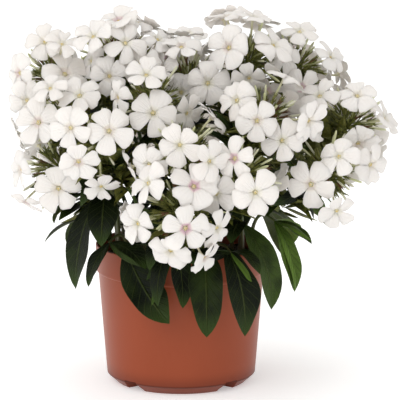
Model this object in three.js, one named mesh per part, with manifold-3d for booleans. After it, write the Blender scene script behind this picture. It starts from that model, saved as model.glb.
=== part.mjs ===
// A dwarf white garden phlox in a 14 cm plastic nursery pot, in millimetres, +Z up.
// The origin is the middle of the pot's underside, and the front of the plant looks along -Y.
//
// The plant is a mound of rounded flower heads. Each head is a core of short green stalks with
// corollas standing out of it on their tubes, five petals to a corolla. The heads stand on leafy
// stems, some of which fork, and short leafy side shoots hang over the pot's rim.
// Nothing crosses: corollas and leaves are laid out by rules, and each one is slid, turned or
// shortened along a short list of choices until it clears everything that was placed before it.
import * as THREE from "three";
import { mergeVertices } from "three/addons/utils/BufferGeometryUtils.js";
import Module from "manifold-3d";

const wasm = await Module();
wasm.setup();

// ---------------------------------------------------------------- colours
const TERRACOTTA = { color: 0xa9573c, roughness: 0.45, metalness: 0 };
const COMPOST = { color: 0x3a2a20, roughness: 0.95, metalness: 0 };
const LEAF_GREEN = { color: 0x23401c, roughness: 0.55, metalness: 0 };
const PETAL_WHITE = { color: 0xeee9ea, roughness: 0.6, metalness: 0 };

// ---------------------------------------------------------------- pot sizes
const FOOT_RADIUS = 54.5; // outer edge of the feet, on the ground
const FOOT_HEIGHT = 7; // the feet lean out to the body over this height
const BODY_LOW_RADIUS = 61.5;
const BAND_BOTTOM = 93; // the rim band steps out here
const BODY_TOP_RADIUS = 68.3;
const BAND_RADIUS = 69.9;
const RIM_RADIUS = 70.4;
const POT_HEIGHT = 115;
const WALL = 1.5;
const POT_SIDES = 40;
const CHANNEL_ANGLES = [47.4, 132.6, 227.4, 312.6]; // drainage channels between the feet
const CHANNEL_HALF_ANGLE = 7;
const CHANNEL_START = 18; // distance from the axis where a channel begins
const CHANNEL_ROOF = 8.5;
const DRAIN_HOLE_RADIUS = 4;
const DRAIN_HOLE_AT = 44; // distance of each drain hole from the axis
const GAP = 0.3; // between pieces that touch

// ---------------------------------------------------------------- compost sizes
const COMPOST_LEVEL = 104;
const COMPOST_BUMP = 1.6;
const COMPOST_SIDES = 20;
const STEM_DEPTH = 12; // how far a stem goes into the compost
const STEM_CLEAR = 3; // a stem stands straight up to this height over the compost
const HOLE_RADIUS = 3.4;

// ---------------------------------------------------------------- plant sizes
const STEM_RADIUS = 1.8;
const STEM_SIDES = 4;
const STEM_STEPS = 5;
const HEAD_RADIUS = 40; // from a head's middle to its corolla faces
const CORE_RADIUS = 16;
const CORE_SIDES = 6;
const PETAL_LENGTH = 16; // from the eye to the petal's tip
const FLORET_SPACING = 28; // between neighbouring eyes of one head
const LEAF_THICKNESS = 1.3;

// ---------------------------------------------------------------- the heads and what bears them
// Each head: where its middle is, and its corollas on the plant's front. A corolla is the compass
// angle and the rise of its tube, in degrees, then its petals' length and how far it faces front.
const HEADS = {
  left: {
    at: [-103, 0, 252],
    corollas: [
      [-108, 56, 16, 0.5], [-77, 43, 14, 0], [-74, 14, 18, 0.5], [-135, 12, 16, 0.1],
      [-118, -16, 16, 0.3],
    ],
  },
  left_shoulder: {
    at: [-92, -42, 226],
    corollas: [[-121, 3, 18, 0.7], [-68, 36, 17, 0.6], [-108, 40, 14, 0]],
  },
  left_low: {
    at: [-98, -34, 184],
    filled: false,
    corollas: [[-89, -15, 18, 0.6], [-139, 4, 16, 0], [-150, -40, 15, 0], [120, 20, 16, 0]],
  },
  left_front: {
    at: [-64, -75, 212],
    corollas: [[-76, 22, 18, 0.5], [-113, -15, 16, 0.6], [-120, 22, 16, 0.3], [-85, -54, 14, 0.6]],
  },
  left_top: {
    at: [-50, -8, 266],
    corollas: [
      [-91, 68, 17, 0.2], [-80, 30, 17, 0.1], [-119, 33, 16, 0.1], [-138, 8, 15, 0],
      [-60, 4, 16, 0.2], [-100, -8, 15, -0.3], [-2, 65, 14, 0], [-20, 32, 15, 0.2],
    ],
  },
  middle_left: {
    at: [-22, -52, 240],
    corollas: [[-89, -3, 18, 0.5], [-98, 40, 16, 0.1], [-135, 12, 14, 0], [-40, -8, 16, 0.2]],
  },
  right_front: {
    at: [47, -88, 187],
    corollas: [[-98, 30, 17, 0.6], [-74, -8, 18.5, 0.7], [-122, -14, 17, 0.4]],
  },
  middle: {
    at: [2, -88, 205],
    corollas: [[-93, 19, 16.5, 0.6], [-132, -6, 16, 0.1], [-55, -6, 17, 0.4]],
  },
  low_front: {
    at: [0, -106, 163],
    corollas: [
      [-83, -10, 18.5, 0.5], [-69, 38, 18, 0.6], [-133, 36, 17, 0.5], [-148, -10, 15, 0],
      [-40, -14, 16, 0.2], [-105, -44, 16, 0.6], [-52, -46, 14, 0.2],
    ],
  },
  right_middle: {
    at: [66, -58, 227],
    corollas: [[-130, 30, 17, 0.5], [-98, 8, 17, 0.4], [-66, -18, 17, 0.6], [-38, 4, 17, 0.3]],
  },
  middle_top: {
    at: [6, -6, 247],
    corollas: [[-101, 52, 16, 0.2], [-133, 30, 16, 0.1], [-66, 10, 17, 0.3], [-106, -2, 16, 0.2]],
  },
  right_top: {
    at: [55, -8, 268],
    corollas: [
      [-117, 22, 18, 0.6], [-56, 25, 17, 0.6], [-90, -14, 14, 0.2], [165, 62, 15, 0],
      [-75, 68, 15, -0.3],
    ],
  },
  right_peak: {
    at: [94, 24, 256],
    corollas: [
      [-81, 60, 15, 0.6], [-40, 20, 15, 0], [-106, 22, 14, 0.3], [-84, -14, 15, 0.3],
    ],
  },
  right: {
    at: [138, -2, 214],
    corollas: [[-136, 38, 16, 0.4], [-80, 46, 16, 0], [-45, 14, 16, 0], [-82, -14, 17, 0.4]],
  },
  right_low: {
    at: [118, -46, 183],
    filled: false,
    corollas: [
      [-112, -6, 19, 0.7], [-78, 28, 16, 0.3], [-28, 12, 16, 0.7], [-80, -34, 15, 0.1],
      [60, 0, 15, 0],
    ],
  },
  back_left_top: { at: [-72, 55, 238] },
  back_left: { at: [-86, 62, 198] },
  back_middle_top: { at: [-8, 58, 238] },
  back_right_top: { at: [54, 64, 238] },
  back_right: { at: [112, 60, 198] },
  back_left_low: { at: [-66, 98, 186] },
  back_middle_low: { at: [0, 110, 190] },
  back_right_low: { at: [62, 106, 184] },
};

// Each stem: its foot in the compost, and the heads at its top. The second head is on a fork, and
// so are the leaves that are given here, in the same terms as a side shoot's.
const STEMS = [
  { foot: [-38, 2], heads: ["left", "left_shoulder"] },
  { foot: [-52, -6], heads: ["left_low"], leaves: [[0.6, 226, 52, 17, 10, -30]] },
  { foot: [-28, -36], heads: ["left_front"] },
  { foot: [-18, -6], heads: ["left_top", "middle_left"] },
  { foot: [-6, -46], heads: ["middle", "low_front"] },
  { foot: [21, -40], heads: ["right_front", "right_middle"] },
  { foot: [4, 0], heads: ["middle_top"] },
  { foot: [28, 6], heads: ["right_top", "right_peak"] },
  {
    foot: [48, -8],
    heads: ["right", "right_low"],
    leaves: [[0.45, 318, 52, 22, 5, -60], [0.3, 270, 46, 21, 10, -50]],
  },
  { foot: [-30, 26], heads: ["back_left_top", "back_left"] },
  { foot: [-4, 24], heads: ["back_middle_top"] },
  { foot: [18, 30], heads: ["back_right_top"] },
  { foot: [42, 22], heads: ["back_right"] },
  { foot: [-20, 46], heads: ["back_left_low"] },
  { foot: [4, 50], heads: ["back_middle_low"] },
  { foot: [28, 48], heads: ["back_right_low"] },
];

// Each side shoot: its foot, its tip, and its leaves. A leaf is the share of the way up the shoot,
// then its compass angle, length, width, and its rise in degrees at the base and at the tip. One
// that hangs along the pot's wall is also rolled about its midrib, so that it lies flat to it.
const SHOOTS = [
  {
    foot: [-50, -26],
    tip: [-68, -50, 163],
    leaves: [[1, 226, 78, 27, -52, -92], [1, 150, 50, 22, 0, -80], [0.7, 250, 58, 24, -10, -85]],
  },
  {
    foot: [-42, -40],
    tip: [-57, -68, 129],
    leaves: [[1, 308, 52, 19, 8, -40], [1, 222, 42, 14, -28, -79], [1, 120, 34, 16, 44, -10]],
  },
  {
    foot: [-24, -48],
    tip: [-45, -61, 124],
    leaves: [
      [1, 318, 75, 30, -64, -34, 50], [0.95, 352, 38, 19, 10, -50], [0.3, 262, 38, 20, 84, 50],
    ],
  },
  {
    foot: [-8, -56],
    tip: [-5, -72, 131],
    leaves: [[1, 226, 50, 18, 22, -72], [1, 244, 62, 14, -14, -104], [1, 296, 56, 18, -50, -96]],
  },
  { foot: [14, -50], tip: [19, -64, 127], leaves: [[1, 274, 80, 28, -36, -98]] },
  {
    foot: [26, -50],
    tip: [40, -77, 123],
    leaves: [
      [0.8, 297, 80, 28, -28, -98], [1, 204, 46, 15, 16, -30], [1, 312, 40, 13, 20, -60],
      [0.4, 260, 36, 20, 84, 50],
    ],
  },
  {
    foot: [50, -30],
    tip: [49, -52, 142],
    leaves: [[1, 317, 78, 29, -34, -94], [1, 250, 38, 17, 24, -60], [0.3, 100, 40, 20, 76, 50]],
  },
  {
    foot: [57, -14],
    tip: [76, -34, 140],
    leaves: [[1, 312, 62, 19, -44, -88], [1, 334, 38, 19, -12, -40], [1, 60, 46, 20, 0, -70]],
  },
  {
    foot: [50, 26],
    tip: [70, 40, 134],
    leaves: [[1, 66, 66, 27, -10, -88], [0.85, 0, 40, 20, 0, -80]],
  },
  { foot: [14, 54], tip: [28, 66, 130], leaves: [[1, 60, 70, 28, -16, -90]] },
  {
    foot: [-18, 54],
    tip: [-20, 68, 128],
    leaves: [[1, 96, 72, 28, -20, -92], [1, 140, 52, 21, 0, -70]],
  },
  { foot: [-48, 32], tip: [-66, 46, 134], leaves: [[1, 128, 68, 27, -12, -88]] },
];
const MOUND_MIDDLE = [12, 0, 175]; // corollas turn their backs on this point
const MOUND_REACH = [158, 150, 130]; // how far from there they go, sideways, deep and up

// ---------------------------------------------------------------- seeded draws and vectors
let seed = 20311;
function draw() {
  seed = (seed * 1664525 + 1013904223) % 4294967296;
  return seed / 4294967296;
}
const add = (a, b) => [a[0] + b[0], a[1] + b[1], a[2] + b[2]];
const sub = (a, b) => [a[0] - b[0], a[1] - b[1], a[2] - b[2]];
const mul = (a, k) => [a[0] * k, a[1] * k, a[2] * k];
const dot = (a, b) => a[0] * b[0] + a[1] * b[1] + a[2] * b[2];
const cross = (a, b) => [
  a[1] * b[2] - a[2] * b[1],
  a[2] * b[0] - a[0] * b[2],
  a[0] * b[1] - a[1] * b[0],
];
const length = (a) => Math.sqrt(dot(a, a));
const unit = (a) => mul(a, 1 / length(a));
const radians = (degrees) => (degrees * Math.PI) / 180;

// Two directions square to an axis and to each other.
function sideways(axis) {
  const helper = Math.abs(axis[2]) < 0.9 ? [0, 0, 1] : [1, 0, 0];
  const u = unit(cross(helper, axis));
  return [u, cross(axis, u)];
}

// ---------------------------------------------------------------- does one blade cross another
// A sheet is what a piece must keep clear: its triangles, their edges and the box round them.
function sheetOf(triangles) {
  const edges = triangles.flatMap(([a, b, c]) => [[a, b], [b, c], [c, a]]);
  const points = triangles.flat();
  const low = [0, 1, 2].map((i) => Math.min(...points.map((p) => p[i])));
  const high = [0, 1, 2].map((i) => Math.max(...points.map((p) => p[i])));
  return { triangles, edges, low, high };
}

function pierces([p, q], [a, b, c]) {
  const way = sub(q, p);
  const ab = sub(b, a);
  const ac = sub(c, a);
  const normal = cross(way, ac);
  const size = dot(ab, normal);
  if (Math.abs(size) < 1e-9) return false;
  const from = sub(p, a);
  const u = dot(from, normal) / size;
  if (u < 0 || u > 1) return false;
  const other = cross(from, ab);
  const v = dot(way, other) / size;
  if (v < 0 || u + v > 1) return false;
  const t = dot(ac, other) / size;
  return t >= 0 && t <= 1;
}

function crosses(one, two) {
  for (let i = 0; i < 3; i++) {
    if (one.low[i] > two.high[i] || two.low[i] > one.high[i]) return false;
  }
  return (
    one.edges.some((edge) => two.triangles.some((t) => pierces(edge, t))) ||
    two.edges.some((edge) => one.triangles.some((t) => pierces(edge, t)))
  );
}

// A strip round a line of points, as two crossed ribbons, for stems and corolla tubes.
function ribbons(points, halfWidth) {
  const [u, v] = sideways(unit(sub(points[points.length - 1], points[0])));
  return [u, v].flatMap((side) =>
    points.slice(1).flatMap((q, i) => {
      const p = points[i];
      const w = mul(side, halfWidth);
      return [
        [sub(p, w), add(p, w), add(q, w)],
        [sub(p, w), add(q, w), sub(q, w)],
      ];
    }),
  );
}

// ---------------------------------------------------------------- where stems run
const compostTop = (x, y) =>
  COMPOST_LEVEL + COMPOST_BUMP * Math.sin(x * 0.11 + 1.3) * Math.cos(y * 0.13 - 0.4);

function bezier([a, b, c, d], t) {
  const s = 1 - t;
  return add(
    add(mul(a, s * s * s), mul(b, 3 * s * s * t)),
    add(mul(c, 3 * s * t * t), mul(d, t * t * t)),
  );
}
function bezierWay([a, b, c, d], t) {
  const s = 1 - t;
  const way = add(
    add(mul(sub(b, a), 3 * s * s), mul(sub(c, b), 6 * s * t)),
    mul(sub(d, c), 3 * t * t),
  );
  return unit(way);
}

const heads = Object.entries(HEADS).map(([name, { at: middle, corollas = [], filled = true }]) => {
  const axis = unit([middle[0] * 0.75 - 6, middle[1] * 0.75, middle[2] - 105]);
  const base = sub(middle, mul(axis, CORE_RADIUS * 0.9 + GAP));
  return { name, middle, axis, base, corollas, filled, florets: [] };
});
const headNamed = (name) => heads.find((head) => head.name === name);

const STEM_RISE = 50; // how far a stem goes straight up before it leans
const NECK = 40; // how far below a head its stem already points at it
const FORK_AT = 0.45;
function stemPaths(stem) {
  const foot = [...stem.foot, COMPOST_LEVEL + STEM_CLEAR];
  const paths = [];
  for (const name of stem.heads) {
    const { axis, base } = headNamed(name);
    const main = paths[0];
    const start = main ? bezier(main, FORK_AT) : foot;
    const lead = main ? mul(bezierWay(main, FORK_AT), STEM_RISE * 0.4) : [0, 0, STEM_RISE];
    paths.push([start, add(start, lead), sub(base, mul(axis, NECK)), base]);
  }
  return paths;
}
function shootPaths(shoot) {
  const [x, y] = shoot.foot;
  const foot = [x, y, COMPOST_LEVEL + STEM_CLEAR];
  const tip = shoot.tip;
  const bend = [x, y, tip[2] + 4];
  return [[foot, bend, [(x + tip[0]) / 2, (y + tip[1]) / 2, tip[2] + 8], tip]];
}
function pathPoints(path, isFork) {
  const points = Array.from({ length: STEM_STEPS + 1 }, (_, i) => bezier(path, i / STEM_STEPS));
  const [x, y] = path[0];
  return isFork ? points : [[x, y, COMPOST_LEVEL - STEM_DEPTH], ...points];
}

// A point on the stem as it is built, straight between its steps.
function onStem(path, share) {
  const step = Math.min(Math.floor(share * STEM_STEPS), STEM_STEPS - 1);
  const part = share * STEM_STEPS - step;
  const [a, b] = [bezier(path, step / STEM_STEPS), bezier(path, (step + 1) / STEM_STEPS)];
  return add(mul(a, 1 - part), mul(b, part));
}

// ---------------------------------------------------------------- the shape of a leaf
// The midrib is an arc: its rise turns evenly from the base's to the tip's. The blade is folded
// up a little along the midrib.
const LEAF_STATIONS = [0.3, 0.56, 0.82]; // where along the midrib the edges bend
const SMALL_STATIONS = [0.36, 0.72];
const LEAF_FOLD = 0.22;
const STEM_LEAF_FULLNESS = 0.82; // a leaf is widest where its share to this power is a half
const SHOOT_LEAF_FULLNESS = 1.05;
const leafWidth = (share, fullness) => Math.sin(Math.PI * Math.pow(share, fullness)) ** 0.8;

function leafPoint(leaf, share, side, lift = 0) {
  const rise = radians(leaf.rise);
  const bend = radians(leaf.fall - leaf.rise);
  const turned = rise + bend * share;
  const out = (leaf.length * (Math.sin(turned) - Math.sin(rise))) / bend;
  const up = (leaf.length * (Math.cos(rise) - Math.cos(turned))) / bend;
  const compass = radians(leaf.compass);
  const ahead = [Math.cos(compass), Math.sin(compass), 0];
  const level = [-ahead[1], ahead[0], 0];
  const upright = add(mul(ahead, -Math.sin(turned)), [0, 0, Math.cos(turned)]);
  const roll = radians(leaf.roll ?? 0);
  const across = add(mul(level, Math.cos(roll)), mul(upright, Math.sin(roll)));
  const normal = sub(mul(upright, Math.cos(roll)), mul(level, Math.sin(roll)));
  const half = (side * leaf.width * leafWidth(share, leaf.fullness)) / 2;
  const point = add(leaf.base, add(mul(ahead, out), [0, 0, up]));
  return add(point, add(mul(across, half), mul(normal, Math.abs(half) * LEAF_FOLD + lift)));
}

// Top and bottom share the outline, so the edge is sharp and the midrib is the thickest place.
function leafFaces(leaf) {
  const base = leafPoint(leaf, 0, 0);
  const tip = leafPoint(leaf, 1, 0);
  const face = (lift) => {
    const rows = leaf.stations.map((share) => [
      leafPoint(leaf, share, -1),
      leafPoint(leaf, share, 0, lift),
      leafPoint(leaf, share, 1),
    ]);
    const made = [[base, rows[0][0], rows[0][1]], [base, rows[0][1], rows[0][2]]];
    for (let i = 1; i < rows.length; i++) {
      for (const k of [0, 1]) {
        const [a, b, c, d] = [rows[i - 1][k], rows[i - 1][k + 1], rows[i][k], rows[i][k + 1]];
        if (k === 0) made.push([a, c, d], [a, d, b]);
        else made.push([a, c, b], [b, c, d]);
      }
    }
    const last = rows[rows.length - 1];
    made.push([last[0], tip, last[1]], [last[1], tip, last[2]]);
    return made;
  };
  return { top: face(LEAF_THICKNESS / 2), bottom: face(-LEAF_THICKNESS / 2) };
}

// What the leaf must keep clear: two layers a little apart. Leaves of one stem may share a root.
const LEAF_CLEARANCE = 1.1;
const ROOT_SHARE = 0.14;
function leafSheet(leaf, from) {
  const shares = [from, ...leaf.stations, 1];
  const triangles = [LEAF_CLEARANCE, -LEAF_CLEARANCE].flatMap((lift) =>
    shares.slice(1).flatMap((share, i) => {
      const rows = [shares[i], share].map((at) => [
        leafPoint(leaf, at, -1.08, lift),
        leafPoint(leaf, at, 0, lift),
        leafPoint(leaf, at, 1.08, lift),
      ]);
      return [0, 1].flatMap((k) => [
        [rows[0][k], rows[1][k], rows[1][k + 1]],
        [rows[0][k], rows[1][k + 1], rows[0][k + 1]],
      ]);
    }),
  );
  return sheetOf(triangles);
}

// ---------------------------------------------------------------- the shape of a corolla
// Five petals, each a wedge of the outline between two notches, with two square shoulders. The
// petals are thick at the tube and sharp at their edges.
const PETALS = 5;
const NOTCH_RADIUS = 2.6;
const SHOULDER_ANGLE = 27;
const TUBE_RADIUS = 1.7;
const TUBE_END_RADIUS = 1.2;

function floretFrame(floret) {
  const [u, v] = sideways(floret.normal);
  return (radius, angle, height) => {
    const turn = radians(angle + floret.phase);
    const r = radius * floret.scale;
    const flat = add(mul(u, r * Math.cos(turn)), mul(v, r * Math.sin(turn)));
    return add(floret.eye, add(flat, mul(floret.normal, height + floret.cup * r)));
  };
}

function floretSheet(floret) {
  const at = floretFrame(floret);
  const triangles = [];
  for (const lift of [1.0, -1.6]) {
    for (let k = 0; k < PETALS; k++) {
      const turn = (360 / PETALS) * k;
      const eye = at(0, 0, lift);
      const left = at(PETAL_LENGTH + 0.6, turn - SHOULDER_ANGLE - 3, lift);
      const right = at(PETAL_LENGTH + 0.6, turn + SHOULDER_ANGLE + 3, lift);
      triangles.push([eye, left, right]);
    }
  }
  triangles.push(...ribbons([floret.eye, floret.root], TUBE_RADIUS + 1));
  return sheetOf(triangles);
}

// The core that the tubes stand in: rings about the head's axis, from its foot to its crown.
const CORE_PROFILE = [[0.3, -0.9], [0.92, -0.25], [0.8, 0.6]]; // shares of the core's radius
function coreFaces(head, size) {
  const [u, v] = sideways(head.axis);
  const r = CORE_RADIUS * size;
  const at = (radius, height, k) => {
    const turn = (2 * Math.PI * k) / CORE_SIDES;
    const flat = add(mul(u, radius * Math.cos(turn)), mul(v, radius * Math.sin(turn)));
    return add(head.middle, add(flat, mul(head.axis, height)));
  };
  const foot = at(0, -0.9 * r, 0);
  const crown = at(0, r, 0);
  return Array.from({ length: CORE_SIDES }, (_, k) => {
    const [low, wide, top] = CORE_PROFILE.map(([x, z]) =>
      [k, k + 1].map((corner) => at(x * r, z * r, corner)),
    );
    return [
      [foot, low[1], low[0]],
      [low[0], low[1], wide[1]], [low[0], wide[1], wide[0]],
      [wide[0], wide[1], top[1]], [wide[0], top[1], top[0]],
      [top[0], top[1], crown],
    ];
  }).flat();
}

// ---------------------------------------------------------------- the layout
const placed = []; // { sheet, owner } of everything that is in its place

function isClear(sheet, mine) {
  return placed.every((other) => other.owner === mine || !crosses(sheet, other.sheet));
}

// The pot's rim and the compost, as rings of triangles that no leaf may go through.
function potSheet() {
  const ring = (radius, z) =>
    Array.from({ length: 24 }, (_, i) => [
      radius * Math.cos((i * Math.PI) / 12),
      radius * Math.sin((i * Math.PI) / 12),
      z,
    ]);
  const band = (a, b) =>
    a.flatMap((p, i) => {
      const j = (i + 1) % a.length;
      return [[p, a[j], b[j]], [p, b[j], b[i]]];
    });
  const rings = [ring(BODY_LOW_RADIUS, 0), ring(RIM_RADIUS + 1.5, 90),
    ring(RIM_RADIUS + 1.5, POT_HEIGHT + 1.2), ring(RIM_RADIUS - 4, POT_HEIGHT + 1.2),
    ring(RIM_RADIUS - 4, COMPOST_LEVEL + 3), ring(1, COMPOST_LEVEL + 3)];
  return sheetOf(rings.slice(1).flatMap((next, i) => band(rings[i], next)));
}

const leavesOf = ({ leaves = [] }) =>
  leaves.map(([share, compass, long, width, rise, fall, roll]) => ({
    share, compass, length: long, width, rise, fall, roll, stations: LEAF_STATIONS,
    fullness: SHOOT_LEAF_FULLNESS,
  }));
const branches = [
  ...STEMS.map((stem, i) => ({
    name: `leafy_stem_${String(i + 1).padStart(2, "0")}`,
    foot: stem.foot,
    paths: stemPaths(stem),
    leaves: leavesOf(stem),
    pairs: stem.foot[1] < 10 ? 4 : 2, // the front's stems are the leafier ones
  })),
  ...SHOOTS.map((shoot, i) => ({
    name: `side_shoot_${i + 1}`,
    foot: shoot.foot,
    paths: shootPaths(shoot),
    leaves: leavesOf(shoot),
    pairs: 0,
  })),
];

placed.push({ sheet: potSheet(), owner: "pot" });
for (const branch of branches) {
  branch.paths.forEach((path, i) => {
    const points = pathPoints(path, i > 0);
    placed.push({ sheet: sheetOf(ribbons(points, STEM_RADIUS + 1.3)), owner: branch });
  });
}
for (const head of heads) placed.push({ sheet: sheetOf(coreFaces(head, 1.1)), owner: head });

// Puts a corolla on a head where its tube points, nearer to the head or farther from it if it
// would cross what is there already. Answers whether it found a place.
function setCorolla(head, out, long, facing, slides) {
  const sway = [draw() - 0.5, draw() - 0.5, draw() - 0.4];
  const phase = draw() * 72;
  const cup = draw() * 0.2 - 0.05;
  const filling = facing === null;
  for (const slide of slides) {
    const eye = add(head.middle, mul(out, HEAD_RADIUS + slide));
    if (filling && isBuried(head, eye)) continue;
    const normal = unit(add(add(out, mul(sway, filling ? 0.4 : 0.15)), mul(FRONT, filling ? 0 : facing)));
    const root = add(head.middle, mul(out, CORE_RADIUS * 0.55));
    const floret = { eye, root, normal, phase, cup, scale: long / PETAL_LENGTH };
    const sheet = floretSheet(floret);
    if (isClear(sheet, head) && head.florets.every((f) => !crosses(sheet, f.sheet))) {
      head.florets.push({ ...floret, sheet });
      placed.push({ sheet, owner: "floret" });
      return true;
    }
  }
  return false;
}

// A place inside another head, or outside the mound, isn't filled.
const BURIED = 0.9;
const FRONT = [0, -1, 0.15];
function isBuried(head, eye) {
  const [x, y, z] = sub(eye, MOUND_MIDDLE).map((d, i) => d / MOUND_REACH[i]);
  if (x * x + y * y + z * z > 1) return true;
  return heads.some((h) => h !== head && length(sub(eye, h.middle)) < HEAD_RADIUS * BURIED);
}

const onCompass = (compass, rise) => [
  Math.cos(radians(compass)) * Math.cos(radians(rise)),
  Math.sin(radians(compass)) * Math.cos(radians(rise)),
  Math.sin(radians(rise)),
];
const SHIFTS = [[0, 0], [6, 0], [-6, 0], [0, 6], [0, -6], [10, 8], [-10, 8], [10, -8], [-10, -8]];
for (const head of heads) {
  for (const [compass, rise, long, facing] of head.corollas) {
    SHIFTS.some(([aside, up]) => {
      const way = onCompass(compass + aside, rise + up);
      return setCorolla(head, way, long, facing, [0, 3, -3, 6, -6, 9, -9, 12]);
    });
  }
}

// The side shoots' leaves are turned and raised a little where they would cross something.
for (const branch of branches.filter((b) => b.leaves.length)) {
  branch.leaves = branch.leaves.filter((leaf) => {
    leaf.base = onStem(branch.paths[branch.paths.length - 1], Math.min(leaf.share, 0.99));
    const { compass, rise } = leaf;
    for (const lift of [0, 6, -6, 12, 18]) {
      for (const turn of [0, 5, -5, 10, -10, 16, -16]) {
        leaf.compass = compass + turn;
        leaf.rise = rise + lift;
        const sheet = leafSheet(leaf, 0.1);
        const blade = leafSheet(leaf, ROOT_SHARE);
        const apart = branch.leaves.every((l) => !l.blade || !crosses(blade, l.blade));
        if (apart && isClear(sheet, branch)) {
          leaf.blade = blade;
          placed.push({ sheet, owner: "leaf" });
          return true;
        }
      }
    }
    return false;
  });
}

// Behind these, corollas fill each head in a golden spiral round its axis.
const GOLDEN_ANGLE = 137.508;
const CAP_ANGLE = 104;
function fillHead(head) {
  const [u, v] = sideways(head.axis);
  const share = 1 - Math.cos(radians(CAP_ANGLE));
  const cell = (Math.sqrt(3) / 2) * FLORET_SPACING ** 2;
  const count = Math.round((2 * Math.PI * HEAD_RADIUS ** 2 * share) / cell);
  const start = draw() * 360;
  for (let k = 0; k < count && head.filled; k++) {
    const polar = Math.acos(1 - ((k + 0.5) / count) * share);
    const turn = radians(start + k * GOLDEN_ANGLE);
    const flat = add(mul(u, Math.cos(turn)), mul(v, Math.sin(turn)));
    const out = add(mul(head.axis, Math.cos(polar)), mul(flat, Math.sin(polar)));
    const long = 15.5 + draw() * 2;
    if (head.corollas.length && out[1] < -0.3) continue;
    const inward = dot(out, unit(sub(add(head.middle, mul(out, HEAD_RADIUS)), MOUND_MIDDLE)));
    if (inward > 0.2) setCorolla(head, out, long, null, [0, 3, -3, 5.5, -5.5, -8]);
  }
}
heads.forEach(fillHead);

// Stem leaves stand in opposite pairs, each pair square to the one below it.
const PAIR_SHARES = [0.2, 0.44, 0.68, 0.84];
const LEAF_TRIES = [0, 25, -25, 50, -50].flatMap((turn) => [
  { turn, size: 1, rise: 30, fall: -55 },
  { turn, size: 0.8, rise: 20, fall: -30 },
  { turn, size: 0.7, rise: 55, fall: 10 },
]);
function layStemLeaves(branch) {
  const start = draw() * 360;
  PAIR_SHARES.slice(0, branch.pairs).forEach((share, pair) => {
    for (const half of [0, 180]) {
      const long = 66 - 9 * pair + draw() * 10;
      const base = onStem(branch.paths[0], share);
      for (const { turn, size, rise, fall } of LEAF_TRIES) {
        const compass = start + pair * 90 + half + turn;
        const length = long * size;
        const leaf = {
          base, compass, length, width: 22 * size, rise, fall, stations: SMALL_STATIONS,
          fullness: STEM_LEAF_FULLNESS,
        };
        leaf.blade = leafSheet(leaf, ROOT_SHARE);
        const sheet = leafSheet(leaf, 0.1);
        const apart = branch.leaves.every((l) => !crosses(leaf.blade, l.blade));
        if (!apart || !isClear(sheet, branch)) continue;
        branch.leaves.push(leaf);
        placed.push({ sheet, owner: "leaf" });
        break;
      }
    }
  });
}
branches.filter((branch) => branch.pairs).forEach(layStemLeaves);

// ---------------------------------------------------------------- solids
function solid(geometry) {
  const bare = geometry.index ? geometry.toNonIndexed() : geometry.clone();
  bare.deleteAttribute("normal");
  bare.deleteAttribute("uv");
  const merged = mergeVertices(bare, 1e-4);
  const mesh = new wasm.Mesh({
    numProp: 3,
    vertProperties: merged.attributes.position.array,
    triVerts: new Uint32Array(merged.index.array),
  });
  return new wasm.Manifold(mesh);
}

function solidOfTriangles(triangles) {
  const positions = new Float32Array(triangles.flat(2));
  const geometry = new THREE.BufferGeometry();
  geometry.setAttribute("position", new THREE.BufferAttribute(positions, 3));
  return solid(geometry);
}

// One body as a mesh, without the loose scraps that fusing can leave.
function meshOf(name, fused, material) {
  const bodies = fused.decompose();
  const whole = bodies.reduce((most, body) => (body.volume() > most.volume() ? body : most));
  const made = whole.simplify(0.02);
  const { vertProperties, triVerts, numProp } = made.getMesh();
  const geometry = new THREE.BufferGeometry();
  geometry.setAttribute("position", new THREE.BufferAttribute(new Float32Array(vertProperties), numProp));
  geometry.setIndex(new THREE.BufferAttribute(new Uint32Array(triVerts), 1));
  geometry.computeVertexNormals();
  const mesh = new THREE.Mesh(geometry, new THREE.MeshStandardMaterial(material));
  mesh.name = name;
  return mesh;
}

// A solid turned from a profile of [radius, height] points, standing on +Z.
function turned(profile, sides) {
  const points = profile.map(([radius, height]) => new THREE.Vector2(radius, height));
  return solid(new THREE.LatheGeometry(points, sides).rotateX(Math.PI / 2));
}

// A block over the channel's plan, grown by a margin, from below the pot up to a height.
function channel(angle, margin, height) {
  const slope = Math.tan(radians(CHANNEL_HALF_ANGLE));
  const near = CHANNEL_START - margin;
  const far = RIM_RADIUS + 10;
  const halfNear = CHANNEL_START * slope + margin;
  const halfFar = far * slope + margin;
  const plan = new THREE.Shape([
    new THREE.Vector2(near, -halfNear),
    new THREE.Vector2(far, -halfFar),
    new THREE.Vector2(far, halfFar),
    new THREE.Vector2(near, halfNear),
  ]);
  const block = new THREE.ExtrudeGeometry(plan, { depth: height + 5, bevelEnabled: false });
  return solid(block.translate(0, 0, -5).rotateZ(radians(angle)));
}

function insideOfPot(margin) {
  return turned(
    [
      [0, WALL + margin],
      [FOOT_RADIUS - WALL - margin, WALL + margin],
      [BODY_LOW_RADIUS - WALL - margin, FOOT_HEIGHT + 1 + margin],
      [BODY_TOP_RADIUS - WALL - margin, BAND_BOTTOM - 0.5 - margin],
      [BAND_RADIUS - WALL - margin, BAND_BOTTOM + 1.5 + margin],
      [RIM_RADIUS - WALL - margin, POT_HEIGHT + 1],
      [0, POT_HEIGHT + 1],
    ],
    POT_SIDES,
  );
}

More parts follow.
